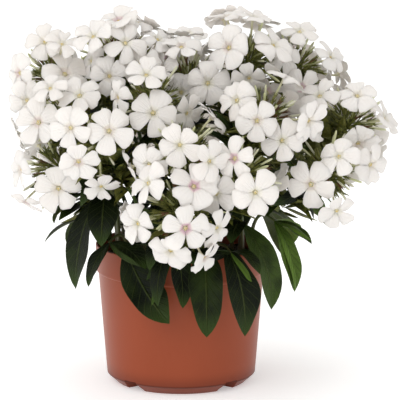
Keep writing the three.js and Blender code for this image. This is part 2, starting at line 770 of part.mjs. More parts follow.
function makePot() {
  let body = turned(
    [
      [0, 0],
      [FOOT_RADIUS, 0],
      [BODY_LOW_RADIUS, FOOT_HEIGHT],
      [BODY_TOP_RADIUS, BAND_BOTTOM],
      [BAND_RADIUS, BAND_BOTTOM],
      [RIM_RADIUS, POT_HEIGHT - 1],
      [RIM_RADIUS - 0.6, POT_HEIGHT],
      [0, POT_HEIGHT],
    ],
    POT_SIDES,
  );
  let inside = insideOfPot(0);
  for (const angle of CHANNEL_ANGLES) {
    body = body.subtract(channel(angle, 0, CHANNEL_ROOF));
    inside = inside.subtract(channel(angle, WALL, CHANNEL_ROOF + WALL));
  }
  body = body.subtract(inside);
  for (const angle of CHANNEL_ANGLES) {
    const hole = new THREE.CylinderGeometry(DRAIN_HOLE_RADIUS, DRAIN_HOLE_RADIUS, 30, 8);
    hole.rotateX(Math.PI / 2).translate(DRAIN_HOLE_AT, 0, 0).rotateZ(radians(angle));
    body = body.subtract(solid(hole));
  }
  return body;
}

// The compost stands on the roofs of the drainage channels, and its top waves a little.
function makeCompost() {
  const wall = (z) => {
    const share = (z - FOOT_HEIGHT - 1) / (BAND_BOTTOM - FOOT_HEIGHT - 1.5);
    const inner = BODY_LOW_RADIUS + (BODY_TOP_RADIUS - BODY_LOW_RADIUS) * share;
    return inner - WALL - GAP;
  };
  const floor = CHANNEL_ROOF + WALL + GAP;
  const shoulder = wall(BAND_BOTTOM - 1);
  const top = [0.97, 0.62, 0.3, 0].map((share) => [shoulder * share, COMPOST_LEVEL]);
  const profile = [[0, floor], [wall(floor), floor], [shoulder, BAND_BOTTOM - 1]];
  let made = turned([...profile, [shoulder, COMPOST_LEVEL - 2], ...top], COMPOST_SIDES);
  made = made.warp((p) => {
    if (p[2] > COMPOST_LEVEL - 3) p[2] += compostTop(p[0], p[1]) - COMPOST_LEVEL;
  });
  for (const { foot } of branches) {
    const hole = new THREE.CylinderGeometry(HOLE_RADIUS, HOLE_RADIUS, 40, 5).rotateX(Math.PI / 2);
    hole.translate(foot[0], foot[1], COMPOST_LEVEL - STEM_DEPTH - GAP + 20);
    made = made.subtract(solid(hole));
  }
  return made;
}

function tubeFaces(points) {
  let side = sideways(unit(sub(points[1], points[0])))[0];
  const rings = points.map((point, i) => {
    const way = unit(sub(points[Math.min(i + 1, points.length - 1)], points[Math.max(i - 1, 0)]));
    side = unit(sub(side, mul(way, dot(side, way))));
    const other = cross(way, side);
    return Array.from({ length: STEM_SIDES }, (_, k) => {
      const turn = (k * 2 * Math.PI) / STEM_SIDES;
      const flat = add(mul(side, Math.cos(turn)), mul(other, Math.sin(turn)));
      return add(point, mul(flat, STEM_RADIUS));
    });
  });
  const faces = [];
  const last = rings.length - 1;
  for (let k = 0; k < STEM_SIDES; k++) {
    const next = (k + 1) % STEM_SIDES;
    for (let i = 0; i < last; i++) {
      const [a, b, c, d] = [rings[i][k], rings[i][next], rings[i + 1][k], rings[i + 1][next]];
      faces.push([a, b, d], [a, d, c]);
    }
    faces.push([points[0], rings[0][next], rings[0][k]]);
    faces.push([points[last], rings[last][k], rings[last][next]]);
  }
  return faces;
}

function makeBranch(branch) {
  const tubes = branch.paths.map((path, i) =>
    solidOfTriangles(tubeFaces(pathPoints(path, i > 0))),
  );
  const blades = branch.leaves.map((leaf) => {
    const { top, bottom } = leafFaces(leaf);
    return solidOfTriangles([...top, ...bottom.map(([a, b, c]) => [a, c, b])]);
  });
  return [...tubes, ...blades].reduce((made, next) => made.add(next));
}

function makeFloret(floret) {
  const at = floretFrame(floret);
  const petalTurn = 360 / PETALS;
  const eye = at(0, 0, -0.8);
  const [u, v] = sideways(floret.normal);
  const triangles = [];
  const notch = (k) => at(NOTCH_RADIUS, petalTurn * (k - 0.5), 0);
  const throat = (k) => at(TUBE_RADIUS, petalTurn * (k - 0.5), -2.6);
  const end = (k) => {
    const turn = radians(petalTurn * (k - 0.5) + floret.phase);
    const flat = add(mul(u, Math.cos(turn)), mul(v, Math.sin(turn)));
    return add(floret.root, mul(flat, TUBE_END_RADIUS));
  };
  for (let k = 0; k < PETALS; k++) {
    const turn = petalTurn * k;
    const outline = [
      notch(k),
      at(PETAL_LENGTH, turn - SHOULDER_ANGLE, 0.2),
      at(PETAL_LENGTH, turn + SHOULDER_ANGLE, 0.2),
      notch(k + 1),
    ];
    for (let i = 0; i < 3; i++) triangles.push([eye, outline[i], outline[i + 1]]);
    const [a, b] = [throat(k), throat(k + 1)];
    triangles.push([a, outline[1], outline[0]], [a, outline[2], outline[1]]);
    triangles.push([a, b, outline[2]], [b, outline[3], outline[2]]);
    triangles.push([a, end(k), b], [end(k), end(k + 1), b], [end(k), floret.root, end(k + 1)]);
  }
  return solidOfTriangles(triangles);
}

function makeHead(head) {
  const core = solidOfTriangles(coreFaces(head, 1));
  return head.florets.map(makeFloret).reduce((made, next) => made.add(next), core);
}

// ---------------------------------------------------------------- the object
const plant = new THREE.Group();
plant.add(meshOf("pot", makePot(), TERRACOTTA));
plant.add(meshOf("compost", makeCompost(), COMPOST));
for (const branch of branches) plant.add(meshOf(branch.name, makeBranch(branch), LEAF_GREEN));
for (const head of heads) plant.add(meshOf(`flower_head_${head.name}`, makeHead(head), PETAL_WHITE));
export default plant;
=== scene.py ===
"""A dwarf white garden phlox in its 14 cm nursery pot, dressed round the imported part.

The sections follow the plant as it was potted and grew: pot, compost, plan of the growth, stems
with their leaves, flower heads. Meshes are worked out in millimetres and finished in metres.
"""

import math
import random

import bmesh
import bpy
import numpy as np
from mathutils import Matrix, Vector


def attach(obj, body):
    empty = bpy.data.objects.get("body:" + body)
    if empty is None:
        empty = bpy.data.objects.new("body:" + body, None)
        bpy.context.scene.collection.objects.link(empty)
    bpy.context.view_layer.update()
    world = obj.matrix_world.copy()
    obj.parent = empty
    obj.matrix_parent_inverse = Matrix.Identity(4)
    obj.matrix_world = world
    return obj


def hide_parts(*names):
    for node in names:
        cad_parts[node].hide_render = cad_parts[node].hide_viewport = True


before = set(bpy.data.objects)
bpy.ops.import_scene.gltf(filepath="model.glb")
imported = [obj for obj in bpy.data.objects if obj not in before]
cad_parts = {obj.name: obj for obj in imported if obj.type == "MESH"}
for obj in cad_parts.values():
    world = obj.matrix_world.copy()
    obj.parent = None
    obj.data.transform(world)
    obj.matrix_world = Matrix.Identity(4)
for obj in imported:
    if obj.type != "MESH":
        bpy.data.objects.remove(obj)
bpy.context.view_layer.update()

# ------------------------------------------------------------------------------ camera
# A long lens a little above the flowers, as plants are shown in a nursery's catalogue.
CAMERA_PLACE, CAMERA_TILT = (0.0157, -2.2, 0.572), 79.16
FOCAL_LENGTH, SENSOR_WIDTH = 244.7, 36


def in_scene(name, data):
    """Makes an object from its data and puts it in the scene."""
    made = bpy.data.objects.new(name, data)
    bpy.context.scene.collection.objects.link(made)
    return made


lens = bpy.data.cameras.new("camera")
lens.lens, lens.sensor_width = FOCAL_LENGTH, SENSOR_WIDTH
camera = in_scene("camera", lens)
camera.location = CAMERA_PLACE
camera.rotation_euler = (math.radians(CAMERA_TILT), 0, 0)
bpy.context.scene.camera = camera

# --------------------------------------------------------------------------------- pot
# A round 14 cm nursery pot, injection moulded in thin terracotta-coloured polypropylene: a
# tapered body on four feet with drainage channels between them, and a stepped rim band. The
# moulded surface has a soft satin sheen and faint flow marks.
FOOT_RADIUS, BODY_LOW_RADIUS, BODY_TOP_RADIUS = 54.5, 61.5, 68.3
FOOT_STEP_HEIGHT, BAND_BOTTOM, RIM_RADIUS, POT_HEIGHT, WALL = 7.1, 93, 70.4, 115, 1.5
CHANNEL_ANGLES, CHANNEL_HALF, CHANNEL_ROOF = (47.4, 132.6, 227.4, 312.6), 7, 8.5
CHANNEL_START, CHANNEL_END = 18, 90
DRAIN_HOLE_AT, DRAIN_HOLE_RADIUS = 44, 4


class Socket:
    """A value in a material, on which arithmetic adds Math nodes."""

    def __init__(self, paint, link):
        self.paint, self.link = paint, link

    def math(self, operation, *values):
        return self.paint.node("ShaderNodeMath", {"operation": operation}, *values)

    def __add__(self, other):
        return self.math("ADD", self, other)

    def __sub__(self, other):
        return self.math("SUBTRACT", self, other)

    def __rsub__(self, other):
        return self.math("SUBTRACT", other, self)

    def __mul__(self, other):
        return self.math("MULTIPLY", self, other)

    def __pow__(self, other):
        return self.math("POWER", self, other)

    def __abs__(self):
        return self.math("ABSOLUTE", self)

    def sin(self):
        return self.math("SINE", self)

    def ramp(self, low, high):
        """Runs smoothly from 0 to 1 as the value goes from low to high."""
        return self.paint.node("ShaderNodeMapRange", {"interpolation_type": "SMOOTHSTEP"},
                               self, low, high)

    __radd__, __rmul__ = __add__, __mul__


class Paint:
    """One procedural material with a Principled shader."""

    def __init__(self, name, **constants):
        self.material = bpy.data.materials.new(name)
        self.material.use_nodes = True
        self.tree = self.material.node_tree
        self.shader = self.tree.nodes["Principled BSDF"]
        for socket, value in constants.items():
            self.shader.inputs[socket.replace("_", " ")].default_value = value

    def join(self, value, socket):
        if isinstance(value, Socket):
            self.tree.links.new(value.link, socket)
        else:
            socket.default_value = value

    def node(self, kind, settings, *values, out=0, **named):
        made = self.tree.nodes.new(kind)
        for key, value in settings.items():
            setattr(made, key, value)
        for key, value in [*enumerate(values), *named.items()]:
            self.join(value, made.inputs[key])
        return Socket(self, made.outputs[out])

    def place(self):
        return self.node("ShaderNodeTexCoord", {}, out="Object")

    def height(self):
        """How high a point of the piece lies, in metres."""
        return self.node("ShaderNodeSeparateXYZ", {}, self.place(), out=2)

    def noise(self, scale, detail, stretch=None):
        place = self.place()
        if stretch:
            place = self.node("ShaderNodeVectorMath", {"operation": "MULTIPLY"}, place, stretch)
        return self.node("ShaderNodeTexNoise", {}, Vector=place, Scale=scale, Detail=detail)

    def mix(self, share, one, two):
        """A colour between two, by share."""
        made = self.tree.nodes.new("ShaderNodeMix")
        made.data_type = "RGBA"
        for value, socket in zip((share, one, two), (made.inputs[0], *made.inputs[6:8])):
            self.join((*value, 1) if isinstance(value, tuple) else value, socket)
        return Socket(self, made.outputs[2])

    def attribute(self, name):
        return self.node("ShaderNodeAttribute", {"attribute_name": name}, out="Fac")

    def blade_place(self):
        """How far across a blade, from -1 to 1, and along it, from 0 to 1."""
        uv = self.node("ShaderNodeUVMap", {"uv_map": "blade"})
        across = self.node("ShaderNodeSeparateXYZ", {}, uv, out=0)
        along = self.node("ShaderNodeSeparateXYZ", {}, uv, out=1)
        return across * 2 - 1, along

    def bump(self, height, distance):
        return self.node("ShaderNodeBump", {}, Distance=distance, Height=height)

    def finish(self, **links):
        for socket, value in links.items():
            self.join(value, self.shader.inputs[socket.replace("_", " ")])
        return self.material


def object_of(bm, name, *finishes):
    """Makes an object from a mesh, which is used up, and its finishes."""
    mesh = bpy.data.meshes.new(name)
    bm.to_mesh(mesh)
    bm.free()
    for finish in finishes:
        mesh.materials.append(finish)
    return in_scene(name, mesh)


def piece_of(bm, name, replaced, slot, *finishes, sharp=40):
    """Makes the finished piece from a mesh in millimetres, and hangs it on the frame."""
    bmesh.ops.scale(bm, vec=(0.001, 0.001, 0.001), verts=bm.verts)
    for face in bm.faces:
        face.smooth = True
    for edge in bm.edges:
        edge.smooth = edge.calc_face_angle(0) < math.radians(sharp)
    piece = object_of(bm, name, *finishes)
    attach(piece, "root")
    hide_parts(*replaced)


def turned(outline, steps=144):
    """A closed body turned on the pot's axis from an outline of (radius, height)."""
    bm = bmesh.new()
    points = [bm.verts.new((x, 0, z)) for x, z in outline]
    edges = [bm.edges.new(pair) for pair in zip(points, points[1:])]
    bmesh.ops.spin(bm, geom=points + edges, axis=(0, 0, 1), cent=(0, 0, 0),
                   angle=2 * math.pi, steps=steps, use_merge=True)
    bmesh.ops.remove_doubles(bm, verts=bm.verts, dist=0.01)
    bmesh.ops.recalc_face_normals(bm, faces=bm.faces)
    return bm


def cut_by(bm, cutter):
    """Cuts one body with another, and answers with the cut body."""
    whole, knife = object_of(bm, "whole"), object_of(cutter, "knife")
    cut = whole.modifiers.new("cut", "BOOLEAN")
    cut.object, cut.operation, cut.solver = knife, "DIFFERENCE", "EXACT"
    made = bmesh.new()
    made.from_object(whole, bpy.context.evaluated_depsgraph_get())
    for used in (whole, knife):
        bpy.data.objects.remove(used)
    return made


def channel(angle, roof, wider):
    """The space of a drainage channel: a wedge that opens outwards, with slanted sides."""
    bm = bmesh.new()
    for radius in (CHANNEL_START - wider, CHANNEL_END):
        for z, slant in ((-4, -3.2), (roof, 1.5)):
            for side in (-1, 1):
                turn = math.radians(angle + side * CHANNEL_HALF)
                across = side * (wider - slant * radius / 60)
                x, y = radius * math.cos(turn), radius * math.sin(turn)
                bm.verts.new((x - across * math.sin(turn), y + across * math.cos(turn), z))
    bmesh.ops.convex_hull(bm, input=bm.verts)
    bmesh.ops.recalc_face_normals(bm, faces=bm.faces)
    return bm


foot = [(0, 0), (FOOT_RADIUS - 0.8, 0), (FOOT_RADIUS, 0.5), (61.0, 6.5)]
wall = [(BODY_LOW_RADIUS, 6.9), (61.55, 7.5), (62.9, 24), (65.0, 50), (67.0, 76),
        (BODY_TOP_RADIUS, 92.3)]
step = [(68.8, 92.5), (69.4, 92.8), (69.85, 93.4), (70.05, 94.3), (70.02, 95.4)]
band = [(69.95, 97), (70.15, 104), (RIM_RADIUS, 113.6), (70.3, 114.6), (69.8, POT_HEIGHT)]
body = turned(foot + wall + step + band + [(0, POT_HEIGHT)])
hollow = turned([
    (0, WALL), (52.6, WALL), (59.7, 8.5), (BODY_LOW_RADIUS - WALL, 10), (63.4, 50),
    (BODY_TOP_RADIUS - WALL, 91), (68.1, 94.5), (68.9, 113.8), (69.2, 114.7), (69.6, 116),
    (0, 116),
])
for angle in CHANNEL_ANGLES:
    body = cut_by(body, channel(angle, CHANNEL_ROOF, 0))
    hollow = cut_by(hollow, channel(angle, CHANNEL_ROOF + WALL, WALL))
body = cut_by(body, hollow)
for angle in CHANNEL_ANGLES:
    hole = bmesh.new()
    at = Matrix.Rotation(math.radians(angle), 4, "Z") @ Matrix.Translation((DRAIN_HOLE_AT, 0, 8))
    bmesh.ops.create_cone(hole, cap_ends=True, segments=24, radius1=DRAIN_HOLE_RADIUS,
                          radius2=DRAIN_HOLE_RADIUS, depth=20, matrix=at)
    body = cut_by(body, hole)
bmesh.ops.triangulate(body, faces=[f for f in body.faces if len(f.verts) > 4])

plastic = Paint("terracotta_plastic", Roughness=0.42, Specular_IOR_Level=0.24)
flow = plastic.noise(14, 4, (1, 1, 0.25)).ramp(0.35, 0.7)
grain, height = plastic.noise(900, 2), plastic.height()
shade = plastic.mix(flow * 0.5, (0.268, 0.0515, 0.0168), (0.303, 0.061, 0.0215))
# Painted shade: the pot darkens from about 2 cm up down over its feet, where less light reaches
# it.
shade = plastic.mix(height.ramp(0.020, 0.006) * 0.8, shade, (0.165, 0.029, 0.0105))
# Painted shadow: a thin dark line along the small step between the feet and the body.
painted_step_shadow = abs(height - FOOT_STEP_HEIGHT / 1000).ramp(0.0013, 0.0004)
plastic.finish(
    Base_Color=plastic.mix(painted_step_shadow * 0.55, shade, (0.05, 0.010, 0.004)),
    Roughness=flow * 0.08 + 0.36,
    Normal=plastic.bump(grain * 0.3 + plastic.noise(60, 2) * 0.7, 0.00012),
)
piece_of(body, "pot_moulding", ["pot"], "terracotta_plastic", plastic.material, sharp=28)

# ----------------------------------------------------------------------------- compost
# Damp dark peat compost with bark chips and a few pale grains of perlite, filling the pot to
# about a centimetre under its rim. It stands on the roofs of the drainage channels.
COMPOST_RADIUS, COMPOST_BOTTOM, COMPOST_LEVEL = 66.4, 10.3, 104
COMPOST_RINGS, CHIPS, CHIPS_REACH = 22, 420, 64


def compost_top(x, y):
    """The height of the compost at a place, in gentle waves."""
    return COMPOST_LEVEL + 1.6 * math.sin(x * 0.11 + 1.3) * math.cos(y * 0.13 - 0.4)


chance = random.Random(7)
side = [(0, COMPOST_BOTTOM), (59.4, COMPOST_BOTTOM), (66.2, 92)]
rings = [(COMPOST_RADIUS * (1 - i / COMPOST_RINGS) ** 0.8, COMPOST_LEVEL)
         for i in range(1, COMPOST_RINGS)]
soil = turned([*side, (COMPOST_RADIUS, COMPOST_LEVEL - 2), *rings, (0, COMPOST_LEVEL)], 96)
for v in soil.verts:
    if v.co.z > COMPOST_LEVEL - 3:
        crumb = chance.uniform(-0.5, 0.7) if v.co.z > COMPOST_LEVEL - 1 else 0
        v.co.z += compost_top(v.co.x, v.co.y) - COMPOST_LEVEL + crumb
for _ in range(CHIPS):
    radius, turn = CHIPS_REACH * math.sqrt(chance.random()), chance.uniform(0, 2 * math.pi)
    x, y = radius * math.cos(turn), radius * math.sin(turn)
    size = chance.uniform(0.7, 2.4)
    long = Matrix.Diagonal((size * chance.uniform(1, 2), size, size * 0.6, 1))
    swing = Matrix.Rotation(chance.uniform(0, math.pi), 4, "Z")
    at = Matrix.Translation((x, y, compost_top(x, y) + 0.3))
    bmesh.ops.create_icosphere(soil, subdivisions=1, radius=1, matrix=at @ swing @ long)

peat = Paint("compost_peat", Roughness=0.95)
fibre = peat.noise(420, 6)
chips = peat.noise(160, 2).ramp(0.52, 0.66)
perlite = peat.noise(230, 0).ramp(0.73, 0.76)
brown = peat.mix(fibre.ramp(0.35, 0.7), (0.012, 0.007, 0.004), (0.05, 0.027, 0.014))
brown = peat.mix(chips, brown, (0.085, 0.042, 0.02))
peat.finish(
    Base_Color=peat.mix(perlite, brown, (0.35, 0.32, 0.27)),
    Roughness=0.98 - chips * 0.25,
    Normal=peat.bump(fibre + chips * 0.5, 0.0012),
)
piece_of(soil, "compost_fill", ["compost"], "compost", peat.material, sharp=60)

# ------------------------------------------------------------------- plan of the growth
# Sixteen upright stems carry the flower heads, and twelve short side shoots carry the broad
# leaves over the rim. Every corolla and leaf takes the room that its neighbours leave: a blade
# that would cross what stands already is slid, turned or shortened until it clears it.

# Each flower head: its middle, and the corollas that face the front. A corolla is the compass
# angle and the rise of its tube, the length of its petals, and its share turned to the front.
HEADS = {
    "left": ((-103, 0, 252), [
        (-108, 56, 16, 0.5), (-77, 43, 14, 0), (-74, 14, 18, 0.5), (-135, 12, 16, 0.1),
        (-118, -16, 16, 0.3),
    ]),
    "left_shoulder": ((-92, -42, 226), [
        (-121, 3, 18, 0.7), (-68, 36, 17, 0.6), (-108, 40, 14, 0),
    ]),
    "left_low": ((-98, -34, 184), [
        (-89, -15, 18, 0.6), (-139, 4, 16, 0), (-150, -40, 15, 0), (120, 20, 16, 0),
    ]),
    "left_front": ((-64, -75, 212), [
        (-76, 22, 18, 0.5), (-113, -15, 16, 0.6), (-120, 22, 16, 0.3), (-85, -54, 14, 0.6),
    ]),
    "left_top": ((-50, -8, 266), [
        (-91, 68, 17, 0.2), (-80, 30, 17, 0.1), (-119, 33, 16, 0.1), (-138, 8, 15, 0),
        (-60, 4, 16, 0.2), (-100, -8, 15, -0.3), (-2, 65, 14, 0), (-20, 32, 15, 0.2),
    ]),
    "middle_left": ((-22, -52, 240), [
        (-89, -3, 18, 0.5), (-98, 40, 16, 0.1), (-135, 12, 14, 0), (-40, -8, 16, 0.2),
    ]),
    "right_front": ((47, -88, 187), [
        (-98, 30, 17, 0.6), (-74, -8, 18.5, 0.7), (-122, -14, 17, 0.4),
    ]),
    "middle": ((2, -88, 205), [(-93, 19, 16.5, 0.6), (-132, -6, 16, 0.1), (-55, -6, 17, 0.4)]),
    "low_front": ((0, -106, 163), [
        (-83, -10, 18.5, 0.5), (-69, 38, 18, 0.6), (-133, 36, 17, 0.5), (-148, -10, 15, 0),
        (-40, -14, 16, 0.2), (-105, -44, 16, 0.6), (-52, -46, 14, 0.2),
    ]),
    "right_middle": ((66, -58, 227), [
        (-130, 30, 17, 0.5), (-98, 8, 17, 0.4), (-66, -18, 17, 0.6), (-38, 4, 17, 0.3),
    ]),
    "middle_top": ((6, -6, 247), [
        (-101, 52, 16, 0.2), (-133, 30, 16, 0.1), (-66, 10, 17, 0.3), (-106, -2, 16, 0.2),
    ]),
    "right_top": ((55, -8, 268), [
        (-117, 22, 18, 0.6), (-56, 25, 17, 0.6), (-90, -14, 14, 0.2), (165, 62, 15, 0),
        (-75, 68, 15, -0.3),
    ]),
    "right_peak": ((94, 24, 256), [
        (-81, 60, 15, 0.6), (-40, 20, 15, 0), (-106, 22, 14, 0.3), (-84, -14, 15, 0.3),
    ]),
    "right": ((138, -2, 214), [
        (-136, 38, 16, 0.4), (-80, 46, 16, 0), (-45, 14, 16, 0), (-82, -14, 17, 0.4),
    ]),
    "right_low": ((118, -46, 183), [
        (-112, -6, 19, 0.7), (-78, 28, 16, 0.3), (-28, 12, 16, 0.7), (-80, -34, 15, 0.1),
        (60, 0, 15, 0),
    ]),
    "back_left_top": ((-72, 55, 238), []),
    "back_left": ((-86, 62, 198), []),
    "back_middle_top": ((-8, 58, 238), []),
    "back_right_top": ((54, 64, 238), []),
    "back_right": ((112, 60, 198), []),
    "back_left_low": ((-66, 98, 186), []),
    "back_middle_low": ((0, 110, 190), []),
    "back_right_low": ((62, 106, 184), []),
}

# Each stem: its foot in the compost, and the heads at its top. The second head is on a fork, and
# so are the leaves that are given here, in the same terms as a side shoot's.
STEMS = [
    ((-38, 2), ("left", "left_shoulder"), []),
    ((-52, -6), ("left_low",), [(0.6, 226, 52, 17, 10, -30)]),
    ((-28, -36), ("left_front",), []),
    ((-18, -6), ("left_top", "middle_left"), []),
    ((-6, -46), ("middle", "low_front"), []),
    ((21, -40), ("right_front", "right_middle"), []),
    ((4, 0), ("middle_top",), []),
    ((28, 6), ("right_top", "right_peak"), []),
    ((48, -8), ("right", "right_low"), [(0.45, 318, 52, 22, 5, -60), (0.3, 270, 46, 21, 10, -50)]),
    ((-30, 26), ("back_left_top", "back_left"), []),
    ((-4, 24), ("back_middle_top",), []),
    ((18, 30), ("back_right_top",), []),
    ((42, 22), ("back_right",), []),
    ((-20, 46), ("back_left_low",), []),
    ((4, 50), ("back_middle_low",), []),
    ((28, 48), ("back_right_low",), []),
]

# Each side shoot: its foot, its tip, and its leaves. A leaf is the share of the way up the shoot,
# then its compass angle, length, width, and its rise in degrees at the base and at the tip. One
# that hangs along the pot's wall is also rolled about its midrib, so that it lies flat to it.
SHOOTS = [
    ((-50, -26), (-68, -50, 163), [
        (1, 226, 78, 27, -52, -92), (1, 150, 50, 22, 0, -80), (0.7, 250, 58, 24, -10, -85),
    ]),
    ((-42, -40), (-57, -68, 129), [
        (1, 308, 52, 19, 8, -40), (1, 222, 42, 14, -28, -79), (1, 120, 34, 16, 44, -10),
    ]),
    ((-24, -48), (-45, -61, 124), [
        (1, 318, 75, 30, -64, -34, 50), (0.95, 352, 38, 19, 10, -50), (0.3, 262, 38, 20, 84, 50),
    ]),
    ((-8, -56), (-5, -72, 131), [
        (1, 226, 50, 18, 22, -72), (1, 244, 62, 14, -14, -104), (1, 296, 56, 18, -50, -96),
    ]),
    ((14, -50), (19, -64, 127), [(1, 274, 80, 28, -36, -98)]),
    ((26, -50), (40, -77, 123), [
        (0.8, 297, 80, 28, -28, -98), (1, 204, 46, 15, 16, -30), (1, 312, 40, 13, 20, -60),
        (0.4, 260, 36, 20, 84, 50),
    ]),
    ((50, -30), (49, -52, 142), [
        (1, 317, 78, 29, -34, -94), (1, 250, 38, 17, 24, -60), (0.3, 100, 40, 20, 76, 50),
    ]),
    ((57, -14), (76, -34, 140), [
        (1, 312, 62, 19, -44, -88), (1, 334, 38, 19, -12, -40), (1, 60, 46, 20, 0, -70),
    ]),
    ((50, 26), (70, 40, 134), [(1, 66, 66, 27, -10, -88), (0.85, 0, 40, 20, 0, -80)]),
    ((14, 54), (28, 66, 130), [(1, 60, 70, 28, -16, -90)]),
    ((-18, 54), (-20, 68, 128), [(1, 96, 72, 28, -20, -92), (1, 140, 52, 21, 0, -70)]),
    ((-48, 32), (-66, 46, 134), [(1, 128, 68, 27, -12, -88)]),
]

UNFILLED_HEADS = ("left_low", "right_low")
MOUND_MIDDLE = (12, 0, 175)  # corollas turn their backs on this point
MOUND_REACH = (158, 150, 130)  # how far from there they go, sideways, deep and up
HEAD_RADIUS, CORE_RADIUS, CORE_SIDES = 40, 16, 6
FLAT_REACH, FLAT_HALF_ANGLE, TUBE_HALF_WIDTH = 16.6, 30, 2.7
COROLLA_SPACING, FILLED_ANGLE, GOLDEN_ANGLE = 28, 104, 137.508
STEM_CLEAR, STEM_DEPTH, STEM_RADIUS, STEM_STEPS = 3, 12, 1.8, 5
FORK_AT, STEM_LEAD, FORK_LEAD, HEAD_LEAD = 0.45, 50, 20, 40
PAIRS_UP = (0.2, 0.44, 0.68, 0.84)
LOWEST_LEAF_LENGTH, LEAF_SHORTENING, STEM_LEAF_WIDTH = 66, 9, 22
FOLD, POT_SIDES = 0.22, 24
seed = 20311


def draw():
    """The next of one fixed row of chance numbers from 0 to 1."""
    global seed
    seed = (seed * 1664525 + 1013904223) % 2**32
    return seed / 2**32


def vec(*xyz):
    return np.array(xyz, float)


def unit(v):
    return v / math.sqrt(v @ v)


def sideways(axis):
    """Two directions square to an axis and to each other."""
    helper = vec(0, 0, 1) if abs(axis[2]) < 0.9 else vec(1, 0, 0)
    u = unit(np.cross(helper, axis))
    return u, np.cross(axis, u)


def spun(u, v, turn):
    """The direction at an angle round an axis, from the two directions square to it."""
    return u * math.cos(turn) + v * math.sin(turn)


def on_compass(compass, rise):
    """The direction at a compass angle and a rise over the level, in degrees."""
    a, b = math.radians(compass), math.radians(rise)
    return vec(math.cos(a) * math.cos(b), math.sin(a) * math.cos(b), math.sin(b))


class Sheet:
    """What a blade must keep clear of: triangles, their edges and the box round them."""

    def __init__(self, triangles, owner=None):
        self.corners = np.array(triangles, float).reshape(-1, 3, 3)
        self.starts = self.corners.reshape(-1, 3)
        self.ends = np.roll(self.corners, -1, axis=1).reshape(-1, 3)
        self.low, self.high = self.starts.min(0), self.starts.max(0)
        self.owner = owner


def any_pierces(starts, ends, corners):
    """Does any of these edges go through any of these triangles?"""
    a = corners[None, :, 0]
    ab, ac = corners[None, :, 1] - a, corners[None, :, 2] - a
    way, start = (ends - starts)[:, None], starts[:, None] - a
    normal = np.cross(way, ac)
    size = (ab * normal).sum(2)
    flat = np.abs(size) < 1e-9
    size = np.where(flat, 1, size)
    u = (start * normal).sum(2) / size
    other = np.cross(start, ab)
    v = (way * other).sum(2) / size
    t = (ac * other).sum(2) / size
    hit = (u >= 0) & (u <= 1) & (v >= 0) & (u + v <= 1) & (t >= 0) & (t <= 1)
    return bool((hit & ~flat).any())


placed = []


def is_clear(sheet, mine):
    """Does a blade keep clear of all that is placed, apart from what it grows from?"""
    near = [
        other for other in placed
        if other.owner is not mine
        and (sheet.low <= other.high).all() and (other.low <= sheet.high).all()
    ]
    if not near:
        return True
    starts = np.concatenate([other.starts for other in near])
    ends = np.concatenate([other.ends for other in near])
    corners = np.concatenate([other.corners for other in near])
    return not (
        any_pierces(sheet.starts, sheet.ends, corners)
        or any_pierces(starts, ends, sheet.corners)
    )


def ribbons(points, half_width):
    """A strip round a line of points, as two crossed ribbons."""
    triangles = []
    for side in sideways(unit(points[-1] - points[0])):
        w = side * half_width
        for p, q in zip(points, points[1:]):
            triangles += [(p - w, p + w, q + w), (p - w, q + w, q - w)]
    return triangles


def bezier(path, t):
    """The point at a share of the way along a curve."""
    a, b, c, d = path
    s = 1 - t
    return a * s**3 + b * 3 * s * s * t + c * 3 * s * t * t + d * t**3


def bezier_way(path, t):
    """The curve's direction at a share of the way along it."""
    a, b, c, d = path
    s = 1 - t
    return unit((b - a) * 3 * s * s + (c - b) * 6 * s * t + (d - c) * 3 * t * t)


class Head:
    """A rounded flower head, on an axis that leans out from the middle of the plant."""

    def __init__(self, name, at, corollas):
        self.name, self.middle, self.corollas = name, vec(*at), corollas
        self.axis = unit(vec(at[0] * 0.75 - 6, at[1] * 0.75, at[2] - 105))
        self.base = self.middle - self.axis * (CORE_RADIUS * 0.9 + 0.3)
        self.florets = []

    def core(self, size):
        """The core that the tubes stand in: rings about the axis, from foot to crown."""
        u, v = sideways(self.axis)
        r = CORE_RADIUS * size

        def at(radius, height, k):
            turn = 2 * math.pi * k / CORE_SIDES
            return self.middle + spun(u, v, turn) * radius + self.axis * height

        triangles = []
        for k in range(CORE_SIDES):
            low, wide, top = [
                (at(x * r, z * r, k), at(x * r, z * r, k + 1))
                for x, z in ((0.3, -0.9), (0.92, -0.25), (0.8, 0.6))
            ]
            triangles += [
                (at(0, -0.9 * r, 0), low[1], low[0]),
                (low[0], low[1], wide[1]), (low[0], wide[1], wide[0]),
                (wide[0], wide[1], top[1]), (wide[0], top[1], top[0]),
                (top[0], top[1], at(0, r, 0)),
            ]
        return triangles


heads = [Head(name, *given) for name, given in HEADS.items()]
head_named = {head.name: head for head in heads}


